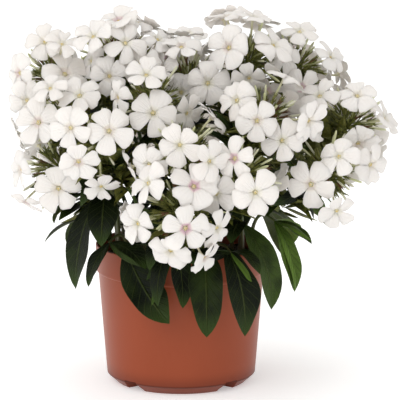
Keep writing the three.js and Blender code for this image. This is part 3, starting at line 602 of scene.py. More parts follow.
class Branch:
    """A stem that ends in its flower heads, or a side shoot that ends at its tip."""

    def __init__(self, name, foot, leaves, tops=(), tip=None):
        self.name, self.foot, self.paths = name, foot, []
        start = vec(*foot, COMPOST_LEVEL + STEM_CLEAR)
        if tip:  # straight up, then bowed over to the tip
            x, y = foot
            half_way = vec((x + tip[0]) / 2, (y + tip[1]) / 2, tip[2] + 8)
            self.paths.append([start, vec(x, y, tip[2] + 4), half_way, vec(*tip)])
        for top in tops:
            axis, base = head_named[top].axis, head_named[top].base
            if self.paths:
                start = bezier(self.paths[0], FORK_AT)
                lead = bezier_way(self.paths[0], FORK_AT) * FORK_LEAD
            else:
                lead = vec(0, 0, STEM_LEAD)
            self.paths.append([start, start + lead, base - axis * HEAD_LEAD, base])
        self.pairs = 0 if tip else 4 if foot[1] < 10 else 2  # fewer at the back of the plant
        self.given, self.leaves = leaves, []

    def points(self, i):
        """The stem as it is built, straight between its steps."""
        line = [bezier(self.paths[i], k / STEM_STEPS) for k in range(STEM_STEPS + 1)]
        return line if i else [vec(*self.foot, COMPOST_LEVEL - STEM_DEPTH)] + line

    def on_stem(self, i, share):
        """The point at a share of the way up one of its paths."""
        step = min(int(share * STEM_STEPS), STEM_STEPS - 1)
        part = share * STEM_STEPS - step
        a, b = (bezier(self.paths[i], k / STEM_STEPS) for k in (step, step + 1))
        return a * (1 - part) + b * part


class Leaf:
    """A blade folded up along its midrib, which is an arc: its rise in degrees turns evenly to
    its fall. The stations are the shares of its length at which the plan looks at it."""

    def __init__(self, base, compass, length, width, rise, fall, stations, fullness, roll=0):
        self.base, self.compass, self.length, self.width = base, compass, length, width
        self.rise, self.fall, self.stations = rise, fall, stations
        self.fullness, self.roll = fullness, roll

    def half_width(self, share):
        return self.width * max(math.sin(math.pi * share**self.fullness), 0) ** 0.8 / 2

    def point(self, share, side, lift=0.0):
        rise, bend = math.radians(self.rise), math.radians(self.fall - self.rise)
        turned = rise + bend * share
        out = self.length * (math.sin(turned) - math.sin(rise)) / bend
        up = self.length * (math.cos(rise) - math.cos(turned)) / bend
        compass = math.radians(self.compass)
        ahead = vec(math.cos(compass), math.sin(compass), 0)
        level = vec(-ahead[1], ahead[0], 0)
        upright = vec(0, 0, math.cos(turned)) - ahead * math.sin(turned)
        roll = math.radians(self.roll)
        across = level * math.cos(roll) + upright * math.sin(roll)
        normal = upright * math.cos(roll) - level * math.sin(roll)
        half = side * self.half_width(share)
        middle = self.base + ahead * out + vec(0, 0, up)
        return middle + across * half + normal * (abs(half) * FOLD + lift)

    def sheet(self):
        """The leaf's two sides, with a little air round them."""
        shares, triangles = [0.1, *self.stations, 1], []
        for lift in (1.1, -1.1):
            rows = [[self.point(s, side, lift) for side in (-1.08, 0, 1.08)] for s in shares]
            for a, b in zip(rows, rows[1:]):
                for k in (0, 1):
                    triangles += [(a[k], b[k], b[k + 1]), (a[k], b[k + 1], a[k + 1])]
        return Sheet(triangles)


branches = [Branch(f"leafy_stem_{i + 1:02d}", foot, leaves, tops=tops)
            for i, (foot, tops, leaves) in enumerate(STEMS)]
branches += [Branch(f"side_shoot_{i + 1}", foot, leaves, tip=tip)
             for i, (foot, tip, leaves) in enumerate(SHOOTS)]


def pot_sheet():
    """The pot with a little air round its wall and rim, and the compost with some over it."""
    outside, top, floor = RIM_RADIUS + 1.5, POT_HEIGHT + 1.2, COMPOST_LEVEL + STEM_CLEAR
    outline = ((BODY_LOW_RADIUS, 0), (outside, BAND_BOTTOM - 3), (outside, top),
               (COMPOST_RADIUS, top), (COMPOST_RADIUS, floor), (1, floor))
    rings = []
    for radius, z in outline:
        turns = [2 * math.pi * i / POT_SIDES for i in range(POT_SIDES)]
        rings.append([vec(radius * math.cos(t), radius * math.sin(t), z) for t in turns])
    triangles = []
    for a, b in zip(rings, rings[1:]):
        for i in range(POT_SIDES):
            j = (i + 1) % POT_SIDES
            triangles += [(a[i], a[j], b[j]), (a[i], b[j], b[i])]
    return Sheet(triangles, "pot")


placed.append(pot_sheet())
for branch in branches:
    for i in range(len(branch.paths)):
        placed.append(Sheet(ribbons(branch.points(i), STEM_RADIUS + 1.3), branch))
for head in heads:
    placed.append(Sheet(head.core(1.1), head))


class Floret:
    """One corolla: five petals round an eye, and the tube down to its root in the head."""

    def __init__(self, eye, root, normal, phase, cup, scale):
        self.eye, self.root, self.normal = eye, root, normal
        self.phase, self.cup, self.scale = phase, cup, scale
        self.u, self.v = sideways(normal)

    def at(self, radius, angle, height):
        turn, r = math.radians(angle + self.phase), radius * self.scale
        flat = spun(self.u, self.v, turn) * r
        return self.eye + flat + self.normal * (height + self.cup * r)

    def sheet(self):
        """A flat triangle before and behind each petal, and a strip round the tube."""
        triangles = []
        for lift in (1.0, -1.6):
            for k in range(5):
                edge = [self.at(FLAT_REACH, 72 * k + side, lift)
                        for side in (-FLAT_HALF_ANGLE, FLAT_HALF_ANGLE)]
                triangles.append((self.at(0, 0, lift), *edge))
        return Sheet(triangles + ribbons([self.eye, self.root], TUBE_HALF_WIDTH), "floret")


def is_buried(head, eye):
    """A place inside another head, or outside the mound, isn't filled."""
    off = (eye - vec(*MOUND_MIDDLE)) / vec(*MOUND_REACH)
    if off @ off > 1:
        return True
    return any(h is not head and np.linalg.norm(eye - h.middle) < HEAD_RADIUS * 0.9 for h in heads)


def set_corolla(head, out, long, facing, slides):
    """Puts a corolla where its tube points, nearer or farther if it would cross something."""
    sway = vec(draw() - 0.5, draw() - 0.5, draw() - 0.4)
    phase, cup = draw() * 72, draw() * 0.2 - 0.05
    filling = facing is None
    for slide in slides:
        eye = head.middle + out * (HEAD_RADIUS + slide)
        if filling and is_buried(head, eye):
            continue
        turned = sway * 0.4 if filling else sway * 0.15 + vec(0, -1, 0.15) * facing
        root = head.middle + out * CORE_RADIUS * 0.55
        floret = Floret(eye, root, unit(out + turned), phase, cup, long / 16)
        sheet = floret.sheet()
        if is_clear(sheet, head):
            head.florets.append(floret)
            placed.append(sheet)
            return True
    return False


SHIFTS = ((0, 0), (6, 0), (-6, 0), (0, 6), (0, -6), (10, 8), (-10, 8), (10, -8), (-10, -8))
for head in heads:
    for compass, rise, long, facing in head.corollas:
        for aside, up in SHIFTS:
            way = on_compass(compass + aside, rise + up)
            if set_corolla(head, way, long, facing, (0, 3, -3, 6, -6, 9, -9, 12)):
                break


def has_laid(branch, leaf):
    """Lays a leaf if it crosses nothing, and tells whether it has."""
    sheet = leaf.sheet()
    if not is_clear(sheet, branch):
        return False
    branch.leaves.append(leaf)
    placed.append(sheet)
    return True


def lay_given_leaf(branch, share, compass, long, width, rise, fall, roll=0):
    """A leaf as it is given, lifted or turned a little where it would cross something."""
    base = branch.on_stem(len(branch.paths) - 1, min(share, 0.99))
    stations = (0.3, 0.56, 0.82)
    for lift in (0, 6, -6, 12, 18):
        for turn in (0, 5, -5, 10, -10, 16, -16):
            leaf = Leaf(base, compass + turn, long, width, rise + lift, fall, stations, 1.05, roll)
            if has_laid(branch, leaf):
                return


for branch in branches:
    for given in branch.given:
        lay_given_leaf(branch, *given)


def fill_head(head):
    """Corollas fill the back of a head in a golden spiral round its axis."""
    u, v = sideways(head.axis)
    share = 1 - math.cos(math.radians(FILLED_ANGLE))
    count = round(2 * math.pi * HEAD_RADIUS**2 * share / (math.sqrt(3) / 2 * COROLLA_SPACING**2))
    start = draw() * 360
    for k in range(0 if head.name in UNFILLED_HEADS else count):
        polar = math.acos(1 - (k + 0.5) / count * share)
        turn = math.radians(start + k * GOLDEN_ANGLE)
        out = head.axis * math.cos(polar) + spun(u, v, turn) * math.sin(polar)
        long = 15.5 + draw() * 2
        if head.corollas and out[1] < -0.3:
            continue
        outward = unit(head.middle + out * HEAD_RADIUS - vec(*MOUND_MIDDLE))
        if out @ outward > 0.2:
            set_corolla(head, out, long, None, (0, 3, -3, 5.5, -5.5, -8))


for head in heads:
    fill_head(head)


def lay_stem_leaf(branch, share, compass, long):
    """A leaf of a stem, turned, made smaller or raised where it would cross something."""
    base, stations = branch.on_stem(0, share), (0.36, 0.72)
    for turn in (0, 25, -25, 50, -50):
        for size, rise, fall in ((1, 30, -55), (0.8, 20, -30), (0.7, 55, 10)):
            wide = STEM_LEAF_WIDTH * size
            leaf = Leaf(base, compass + turn, long * size, wide, rise, fall, stations, 0.82)
            if has_laid(branch, leaf):
                return


# Stem leaves stand in opposite pairs, each pair square to the one below it.
for branch in branches:
    if branch.pairs:
        start = draw() * 360
        for pair in range(branch.pairs):
            for half in (0, 180):
                long = LOWEST_LEAF_LENGTH - LEAF_SHORTENING * pair + draw() * 10
                lay_stem_leaf(branch, PAIRS_UP[pair], start + pair * 90 + half, long)

# ------------------------------------------------------------ stems, shoots and leaves
# Upright green stalks, faintly ridged and flushed with red near the compost, some of them
# forked. Leaves stand in opposite pairs: thin lance-shaped blades with a sunken pale midrib and
# side veins that run out to the edge. The front shoots' broad leaves hang over the rim.
STEM_FOOT_RADIUS, STEM_TOP_RADIUS, STALK_SIDES, STALK_STEPS = 1.9, 1.35, 8, 12
FORK_RADIUS, SHOOT_TIP_RADIUS = 1.6, 0.9
LEAF_THICKNESS, RIB_DEPTH, LEAF_ACROSS, LEAF_ALONG = 0.4, 0.35, 8, 16


def tube(bm, points, radii, sides):
    """A closed round tube along a line of points, one ring to a point."""
    side, rings = sideways(unit(points[1] - points[0]))[0], []
    for i, (point, radius) in enumerate(zip(points, radii)):
        way = unit(points[min(i + 1, len(points) - 1)] - points[max(i - 1, 0)])
        side = unit(side - way * (side @ way))
        turn = Matrix((side, np.cross(way, side), way)).transposed().to_4x4()
        ring = bmesh.ops.create_circle(bm, segments=sides, radius=radius,
                                       matrix=Matrix.Translation(point) @ turn)["verts"]
        rings.append(ring)
    loops = [list({e for v in ring for e in v.link_edges}) for ring in rings]
    for one, two in zip(loops, loops[1:]):
        bmesh.ops.bridge_loops(bm, edges=one + two)
    bmesh.ops.contextual_create(bm, geom=loops[0])
    bmesh.ops.contextual_create(bm, geom=loops[-1])
    faces = list({f for ring in rings for v in ring for f in v.link_faces})
    bmesh.ops.recalc_face_normals(bm, faces=faces)
    return faces


def blade(bm, across, along, shape, thickness, underside, tone):
    """A thin blade, sharp at its edge: two flat grids bent to shape and joined all round. shape
    gives the point at (-1 to 1 across, 0 to 1 along, so far over the middle of the blade)."""
    uv, tones = bm.loops.layers.uv["blade"], bm.verts.layers.float["tone"]
    both = []
    for side in (1, -1):
        grid = bmesh.ops.create_grid(bm, x_segments=across, y_segments=along, size=1)["verts"]
        faces = list({f for v in grid for f in v.link_faces})
        for face in faces:
            for loop in face.loops:
                loop[uv].uv = (loop.vert.co.x / 2 + 0.5, loop.vert.co.y / 2 + 0.5)
        for v in grid:
            x, y = v.co.x, v.co.y / 2 + 0.5
            full = (1 - x**4) * (1 - (2 * y - 1) ** 8)
            v.co, v[tones] = shape(x, y, side * thickness / 2 * full), tone
        if side < 0:
            bmesh.ops.reverse_faces(bm, faces=faces)
            for face in faces:
                face.material_index = underside
        both += grid
    bmesh.ops.remove_doubles(bm, verts=both, dist=0.01)


def new_mesh():
    """A mesh that holds the place on each blade, and a tone for each leaf, flower or bud."""
    bm = bmesh.new()
    bm.loops.layers.uv.new("blade")
    bm.verts.layers.float.new("tone")
    return bm


def leaf_shape(leaf, chance):
    """The planned leaf with a rounder fold, a sunken midrib, a slight twist and waved edges."""
    wave, twist = chance.uniform(0, 6), chance.uniform(-0.35, 0.35)

    def shape(across, along, lift):
        side = math.copysign(abs(across) ** 0.9, across)
        side *= 1 + 0.07 * math.sin(10 * along + 2 * wave + 0.7 * across)
        half = leaf.half_width(along)
        edge = math.sin(11 * along + wave + across) * 0.085 * half * abs(across) ** 2
        rib = -RIB_DEPTH * math.exp(-((across / 0.16) ** 2)) * (1 - along)
        fold = half * FOLD * (across**2 - abs(across)) * 0.6
        turn = twist * across * along * half * 0.3
        return Vector(leaf.point(along, side, lift + edge + rib + fold + turn))

    return shape


# Small leaves at the joints of some stems: the joint, then for each leaf its tip, half width,
# arch, and how fresh a green it has.
SMALL_LEAVES = [
    ("side_shoot_2", (-57, -68, 129), [
        ((-26, -84, 112), 5.2, 3, 0.9), ((-73, -70, 98), 4.4, 3, 0.5),
    ]),
    ("side_shoot_4", (-5, -72, 131), [
        ((-23, -86, 81), 4.4, 5, 1.2), ((-27, -86, 102), 4.2, 3, 0.7),
    ]),
    ("side_shoot_6", (40, -77, 123), [((63, -92, 92), 2.6, 2, 1.6), ((1, -88, 117), 4.8, 3, 1.0)]),
    ("side_shoot_8", (76, -34, 140), [
        ((106, -48, 126), 6.2, 3, 2.0), ((93, -56, 87), 5.6, 5, 1.7),
    ]),
    ("leafy_stem_02", (-88, -31, 174), [
        ((-125, -30, 167), 6.0, 3, 0.9), ((-104, -24, 202), 4.6, 2, 0.8),
    ]),
    ("leafy_stem_03", (-58, -69, 200), [((-67, -66, 252), 3.6, 3, 0.8)]),
    ("leafy_stem_04", (-19, -46, 220), [
        ((-38, -74, 194), 4.2, 3, 0.7), ((-11, -74, 197), 3.8, 3, 1.0),
    ]),
    ("leafy_stem_06", (54, -49, 196), [
        ((92, -66, 167), 5.0, 4, 0.7), ((27, -72, 237), 3.8, 3, 1.0),
    ]),
    ("leafy_stem_06", (57, -50, 202), [((58, -72, 229), 3.6, 3, 1.2)]),
    ("leafy_stem_06", (54, -49, 196), [((20, -70, 222), 3.6, 3, 0.8)]),
    ("leafy_stem_09", (96, -34, 164), [((107, -62, 147), 6.5, 3, 0.8)]),
    ("leafy_stem_09", (108, -42, 173), [((73, -62, 158), 6.0, 4, 0.6)]),
]


def small_leaf_shape(foot, tip, half, arch, chance):
    """A small leaf from a joint to its tip, arched away from the middle of the plant."""
    foot, along_it = vec(*foot), vec(*tip) - vec(*foot)
    middle = foot + along_it / 2
    out = unit(vec(middle[0], middle[1], 25))
    aside = unit(np.cross(along_it, out))
    out, wave = np.cross(aside, unit(along_it)), chance.uniform(0, 6)

    def shape(across, along, lift):
        wide = half * math.sin(math.pi * along**0.85) ** 0.8
        edge = math.sin(9 * along + wave) * 0.1 * wide * across**2
        high = arch * math.sin(math.pi * along) + edge
        high += lift - 0.18 * wide * abs(across)
        return Vector(foot + along_it * along + aside * (across * wide) + out * high)

    return shape


VEIN_TURNS, VEIN_SWEEP = 59.7, 13.5  # some nine pairs of side veins, swept towards the tip


def leaf_finish(name, dark, light, fresh, rib, roughness, depth):
    """Leaf green with a pale midrib, side veins that curve to the edge, and fine mottling."""
    paint = Paint(name, Roughness=roughness, Specular_IOR_Level=0.12)
    across, along = paint.blade_place()
    tone, side = paint.attribute("tone"), abs(across)
    mottle = paint.noise(45, 4)
    wander = (mottle - 0.5) * 0.25
    phase = along * VEIN_TURNS - side**0.8 * VEIN_SWEEP + wander * 9
    vein = phase.sin().ramp(0.86, 1.0) * side.ramp(1.0, 0.75)
    midrib = side.ramp(0.075, 0.0) * along.ramp(1.0, 0.75)
    small = paint.node("ShaderNodeTexVoronoi", {"feature": "DISTANCE_TO_EDGE"},
                       Vector=paint.place(), Scale=520).ramp(0.0, 0.12)
    # A higher tone lifts the mottling towards the light green and, over 1, to a bright green:
    # painted light on the leaves at the plant's right, and the given fresh green of some small
    # leaves.
    green = paint.mix(mottle.ramp(0.36, 0.68) * (tone + 0.12), dark, light)
    green = paint.mix(along.ramp(0.68, 1.0) * 0.65, green, fresh)
    green = paint.mix((tone - 1.0).ramp(0, 0.9) * 0.9, green, (0.13, 0.23, 0.032))
    green = paint.mix(vein * 0.3 + (1 - small) * 0.07, green, rib)
    # Painted highlight: a thin pale line along the leaf's edge, as light through its thin rim.
    green = paint.mix(side.ramp(0.93, 1.0) * 0.35, green, rib)
    return paint.finish(
        Base_Color=paint.mix(midrib * 0.7, green, rib),
        Roughness=mottle * 0.12 + (roughness - 0.06),
        Normal=paint.bump(small * 0.12 - vein * 0.55 - midrib * 0.8 + mottle * 0.9, depth),
    )


leaf_top = leaf_finish(
    "leaf_upper_side", dark=(0.0020, 0.0044, 0.0014), light=(0.027, 0.047, 0.0070),
    fresh=(0.036, 0.068, 0.010), rib=(0.055, 0.074, 0.019), roughness=0.42, depth=0.0010,
)
leaf_back = leaf_finish(
    "leaf_underside", dark=(0.022, 0.038, 0.011), light=(0.055, 0.078, 0.022),
    fresh=(0.06, 0.09, 0.022), rib=(0.11, 0.125, 0.045), roughness=0.6, depth=-0.0006,
)
stalk = Paint("stalk_skin", Roughness=0.5)
height, streak = stalk.height(), stalk.noise(160, 3, (1, 1, 0.12))
young = stalk.mix(streak, (0.05, 0.095, 0.018), (0.10, 0.16, 0.04))
stalk.finish(
    Base_Color=stalk.mix(height.ramp(0.17, 0.1) * 0.7, young, (0.10, 0.035, 0.02)),
    Normal=stalk.bump(streak, 0.0005),
)

leaf_chance = random.Random(19)
for branch in branches:
    bm = new_mesh()
    for i in range(len(branch.paths)):
        line = [bezier(branch.paths[i], k / STALK_STEPS) for k in range(STALK_STEPS + 1)]
        thick = FORK_RADIUS if i else STEM_FOOT_RADIUS
        if i == 0:
            line = [line[0] - vec(0, 0, STEM_CLEAR + STEM_DEPTH - 1)] + line
        end = STEM_TOP_RADIUS if branch.pairs else SHOOT_TIP_RADIUS
        radii = [thick + (end - thick) * k / (len(line) - 1) for k in range(len(line))]
        for face in tube(bm, line, radii, STALK_SIDES):
            face.material_index = 2
    for leaf in branch.leaves:
        # Painted light: leaves towards the plant's right get a higher tone, which paints them
        # lighter and a brighter green.
        sunny = min(max((leaf.point(0.6, 0)[0] - 50) / 45, 0), 1)
        shape = leaf_shape(leaf, leaf_chance)
        tone = leaf_chance.random() ** 2 * 0.7 + sunny * 1.3
        blade(bm, LEAF_ACROSS, LEAF_ALONG, shape, LEAF_THICKNESS, 1, tone)
    here = [(joint, *leaf) for name, joint, leaves in SMALL_LEAVES for leaf in leaves
            if name == branch.name]
    for *place, tone in here:
        shape = small_leaf_shape(*place, leaf_chance)
        blade(bm, LEAF_ACROSS, LEAF_ALONG, shape, LEAF_THICKNESS, 1, tone)
    piece_of(bm, branch.name.replace("leafy_stem", "stem").replace("side_shoot", "shoot")
             + "_and_leaves", [branch.name], "leaves", leaf_top, leaf_back, stalk.material)

# ------------------------------------------------------------------------ flower heads
# Rounded heads of flowers on short branching stalks. Every flower is a narrow cream tube out of
# a green calyx with five awl-shaped teeth, spread into five broad white petals round a yellow
# eye. Unopened buds, spent calyces and narrow bracts fill the head between the flowers.
PETAL_REACH, THROAT_RADIUS, PETAL_HALF_WIDTH, PETAL_WAIST = 17.6, 1.1, 8.9, 7.8
FLOWER_SWAY, PETAL_SWAY, TUBE_RADII = 27, 5, (0.85, 0.85, 0.9, 1.35)
PETAL_ACROSS, PETAL_ALONG, PETAL_THICKNESS = 6, 6, 0.32
STEM_LEAFLETS, BRACTS, HUBS, SPARE_CALYCES, BUD_SHARE = 52, 28, 6, 66, 0.42
BESIDE_A_FLOWER = 0.985  # the cosine of the least angle from a flower to a spare calyx
FLOWER_CALYX_AT, CALYX_LENGTH, CALYX_FOOT_RADIUS, CALYX_RADIUS = 15.5, 6.5, 0.75, 1.25
TOOTH_LENGTH, TOOTH_RADIUS, TOOTH_TIP_RADIUS, ANTHER_RADIUS = 3.6, 0.55, 0.07, 0.42


def petal_shape(floret, k, flower_wide, flower_droop, chance):
    """A broad petal: narrow at the throat, rounded at its end, one edge under the next."""
    turn = math.radians(72 * k + floret.phase + chance.uniform(-PETAL_SWAY, PETAL_SWAY))
    ahead = spun(floret.u, floret.v, turn)
    aside = np.cross(floret.normal, ahead)
    droop, curl, wave = chance.uniform(-1.6, 2.6), chance.uniform(-1.2, 2.2), chance.uniform(0, 6)
    wide, long = chance.uniform(0.88, 1.08), chance.uniform(0.9, 1.04)
    arch = chance.uniform(0.2, 1.1)
    notch, tilt = chance.uniform(0, 0.09), chance.uniform(-1.8, 2.2)
    ripple = chance.uniform(0.01, 0.045)
    wide, droop = wide * flower_wide, droop + flower_droop

    def shape(across, along, lift):
        u = math.sin(across * math.pi / 2)
        # The petal's end is rounded off, notched in the middle and rippled.
        round_off = (1 - math.sqrt(1 - 0.98 * u * u)) * 0.3 * along**1.3
        reach = along * (1 - round_off) - notch * along**8 * math.exp(-((u / 0.25) ** 2))
        reach += ripple * math.sin(5.5 * u + wave) * along**6
        x = THROAT_RADIUS + (PETAL_REACH - THROAT_RADIUS) * reach * long
        full = PETAL_REACH * along + THROAT_RADIUS
        y = u * wide * PETAL_HALF_WIDTH * (1 - math.exp(-full / PETAL_WAIST))
        # It sinks into the throat, arches, twists, droops to its end and waves at its edges.
        z = lift - 2.2 * math.exp(-along / 0.045) + arch * math.sin(math.pi * along)
        z += u * (0.6 * math.sin(min(along, 0.8) * 1.9) + tilt * along**2) - droop * along**2
        z += (0.6 * math.sin(4.2 * u + wave) - curl * u * u) * along**1.5
        z -= 0.3 * math.exp(-((u / 0.2) ** 2)) * (1 - along)
        flat = (ahead * x + aside * y) * floret.scale
        return Vector(floret.eye + flat + floret.normal * (z + floret.cup * x) * floret.scale)

    return shape


def swayed(floret, chance):
    """The same flower, nodding a little to one side; those at the top look up."""
    turn, sway = chance.uniform(0, 2 * math.pi), chance.uniform(0, FLOWER_SWAY)
    aside, lean = spun(floret.u, floret.v, turn), math.tan(math.radians(sway))
    off = (floret.eye - vec(*MOUND_MIDDLE)) / vec(*MOUND_REACH)
    outer = min(max((math.hypot(off[0], off[2]) - 0.6) / 0.3, 0), 1)
    upward = vec(0, 0, max(off[2], 0) * 0.6) * outer
    normal = unit(floret.normal + aside * lean + upward)
    return Floret(floret.eye, floret.root, normal, floret.phase,
                  floret.cup + chance.uniform(-0.06, 0.08), floret.scale)


def rod(bm, start, end, start_radius, end_radius, sides, caps=False):
    """A straight round or tapered rod between two points."""
    way = Vector(end) - Vector(start)
    at = Matrix.Translation((Vector(start) + Vector(end)) / 2)
    turn = way.to_track_quat("Z", "Y").to_matrix().to_4x4()
    return bmesh.ops.create_cone(bm, cap_ends=caps, segments=sides, radius1=start_radius,
                                 radius2=end_radius, depth=way.length, matrix=at @ turn)["verts"]


def calyx(bm, foot, way, size, spread, tone):
    """A ribbed green tube with five awl-shaped teeth round its mouth."""
    mouth = foot + way * CALYX_LENGTH * size
    made = rod(bm, foot, mouth, CALYX_FOOT_RADIUS * size, CALYX_RADIUS * size, 5, True)
    u, v = sideways(way)
    for k in range(5):
        out = spun(u, v, 2 * math.pi * (k + 0.5) / 5)
        low = foot + way * (CALYX_LENGTH - 0.6) * size + out * CALYX_RADIUS * 0.8 * size
        tip = low + (way + out * spread) * TOOTH_LENGTH * size
        made += rod(bm, low, tip, TOOTH_RADIUS * size, TOOTH_TIP_RADIUS, 3)
    mark(bm, made, tone)


def mark(bm, verts, tone, finish=0):
    """Gives what has just been made its tone and its finish."""
    tones = bm.verts.layers.float["tone"]
    for v in verts:
        v[tones] = tone
        for face in v.link_faces:
            face.material_index = finish


def bud(bm, foot, way, length, radius, tone):
    """A closed bud: a slim spindle, fullest near its twisted tip."""
    made = bmesh.ops.create_uvsphere(bm, u_segments=7, v_segments=7, radius=1)["verts"]
    turn = Vector(way).to_track_quat("Z", "Y").to_matrix()
    for v in made:
        share = (v.co.z + 1) / 2
        full = (0.42 + 0.58 * share**2.2) * radius
        v.co = turn @ Vector((v.co.x * full, v.co.y * full, share * length)) + Vector(foot)
    mark(bm, made, tone, 1)


petals = Paint("petal_white", Roughness=0.55, Sheen_Weight=0.12, Sheen_Roughness=0.5,
               Subsurface_Weight=0.5, Subsurface_Radius=(1, 0.92, 0.85), Subsurface_Scale=0.0016)
across, along = petals.blade_place()
tone, blush = petals.attribute("tone"), petals.attribute("blush")
cloud = petals.noise(70, 3)
fan = (across * 21 + cloud * 4).sin() * 0.5 + 0.5
fine = (across * 47 + cloud * 7).sin() * 0.5 + 0.5
vein = (fan**3 * 0.6 + fine**3 * 0.4) * along.ramp(1.0, 0.35)
white = petals.mix(tone * 0.6 + cloud * 0.3, (0.815, 0.775, 0.745), (0.79, 0.742, 0.70))
white = petals.mix(vein * 0.2, white, (0.68, 0.62, 0.60))
white = petals.mix(along.ramp(0.30, 0.05) * 0.6, white, (0.80, 0.76, 0.58))
white = petals.mix(along.ramp(0.24, 0.08) * blush * 0.85, white, (0.62, 0.25, 0.42))
petals.finish(
    Base_Color=petals.mix(along.ramp(0.055, 0.02), white, (0.74, 0.64, 0.26)),
    Roughness=cloud * 0.15 + 0.5,
    Normal=petals.bump(cloud * 0.6 - vein * 0.25, 0.0008),
)
flower_tube = Paint("flower_tube", Roughness=0.55)
tone = flower_tube.attribute("tone")
flower_tube.finish(
    Base_Color=flower_tube.mix(tone, (0.36, 0.40, 0.13), (0.74, 0.70, 0.52)),
    Normal=flower_tube.bump(flower_tube.noise(500, 2), 0.0002),
)
pollen = Paint("anthers", Roughness=0.8)
pollen.finish(Base_Color=pollen.mix(pollen.noise(900, 1), (0.80, 0.62, 0.20), (0.66, 0.46, 0.12)))

green = Paint("calyx_green", Roughness=0.55)
tone, streak = green.attribute("tone"), green.noise(380, 3)
fresh = green.mix(streak.ramp(0.35, 0.65), (0.045, 0.060, 0.009), (0.20, 0.215, 0.038))
fresh = green.mix(tone.ramp(0.2, 0.8) * 0.5, fresh, (0.22, 0.21, 0.045))
green.finish(
    Base_Color=green.mix(tone.ramp(0.84, 0.87), fresh, (0.12, 0.055, 0.018)),
    Normal=green.bump(streak, 0.0004),
)
bud_skin = Paint("bud_skin", Roughness=0.5)
tone, cloud = bud_skin.attribute("tone"), bud_skin.noise(300, 3)
bud_skin.finish(
    Base_Color=bud_skin.mix(tone * 0.7 + cloud * 0.3, (0.78, 0.76, 0.66), (0.50, 0.53, 0.24)),
    Normal=bud_skin.bump(cloud, 0.0003),
)

head_chance = random.Random(5)
# In the heads, buds and bracts have only the corollas to keep clear of.
placed[:] = [sheet for sheet in placed if sheet.owner == "floret"]


def open_flower(bm, floret, chance):
    """One corolla: five petals, the tube behind them and the anthers in its throat."""
    blush, tone = chance.random() ** 5, chance.random()
    blushes, tones = bm.verts.layers.float["blush"], bm.verts.layers.float["tone"]
    start = len(bm.verts)
    wide, droop = chance.uniform(0.8, 1.02), chance.uniform(-0.8, 2.2)
    floret = swayed(floret, chance)
    for k in range(5):
        shape = petal_shape(floret, k, wide, droop, chance)
        blade(bm, PETAL_ACROSS, PETAL_ALONG, shape, PETAL_THICKNESS, 0, tone)
    throat = floret.eye - floret.normal * 1.7
    way = unit(floret.root - throat)
    neck = throat - floret.normal * 2.6 + way * 1.5
    line = [floret.root, (floret.root + neck) / 2, neck, throat]
    for face in tube(bm, line, TUBE_RADII, 6):
        face.material_index = 1
        for v in face.verts:
            v[tones] = min(max((Vector(floret.root) - v.co).length / 34, 0), 1)
    for k in range(3):
        out = spun(floret.u, floret.v, math.radians(120 * k + floret.phase)) * 0.55
        at = Matrix.Translation(floret.eye + out - floret.normal * (0.5 + 0.3 * k))
        anther = bmesh.ops.create_icosphere(bm, subdivisions=1, radius=ANTHER_RADIUS, matrix=at)
        mark(bm, anther["verts"], 0, 2)
    bm.verts.ensure_lookup_table()
    for v in bm.verts[start:]:
        v[blushes] = blush


def leaflet(bm, foot, way, length, half, chance):
    """One of the small lance-shaped leaves and bracts under and between the flowers."""
    aside, up = sideways(way)
    bend, tone = chance.uniform(-0.25, 0.25), chance.uniform(0, 0.8)

    def shape(across, along, lift):
        wide = half * math.sin(math.pi * along**0.8) ** 0.8
        fold = 0.5 * wide * abs(across) + bend * length * along**2
        return Vector(foot + way * (length * along) + aside * (across * wide) + up * (fold + lift))

    blade(bm, 2, 5, shape, 0.3, 0, tone)


def leaflets_of(bm, head, chance):
    """Leaves up the last of the stem, then narrow bracts in the head itself."""
    u, v = sideways(head.axis)
    for k in range(STEM_LEAFLETS + BRACTS):
        turn, low = math.radians(k * GOLDEN_ANGLE), k < STEM_LEAFLETS
        rise = chance.uniform(0.1, 0.9) if low else chance.uniform(-0.4, 1.2)
        way = unit(spun(u, v, turn) + head.axis * rise)
        size = chance.random()
        if low:
            foot = head.base + head.axis * chance.uniform(-42, 4)
            length, half = 18 + 20 * size, 2.6 + 2.6 * size
        else:
            foot = head.middle - head.axis * 7 + way * 3
            length, half = 15 + 11 * size, 1.0 + 0.8 * size
        if is_clear(Sheet(ribbons([foot + way * 4, foot + way * length], 1.5)), head):
            leaflet(bm, foot, way, length, half, chance)


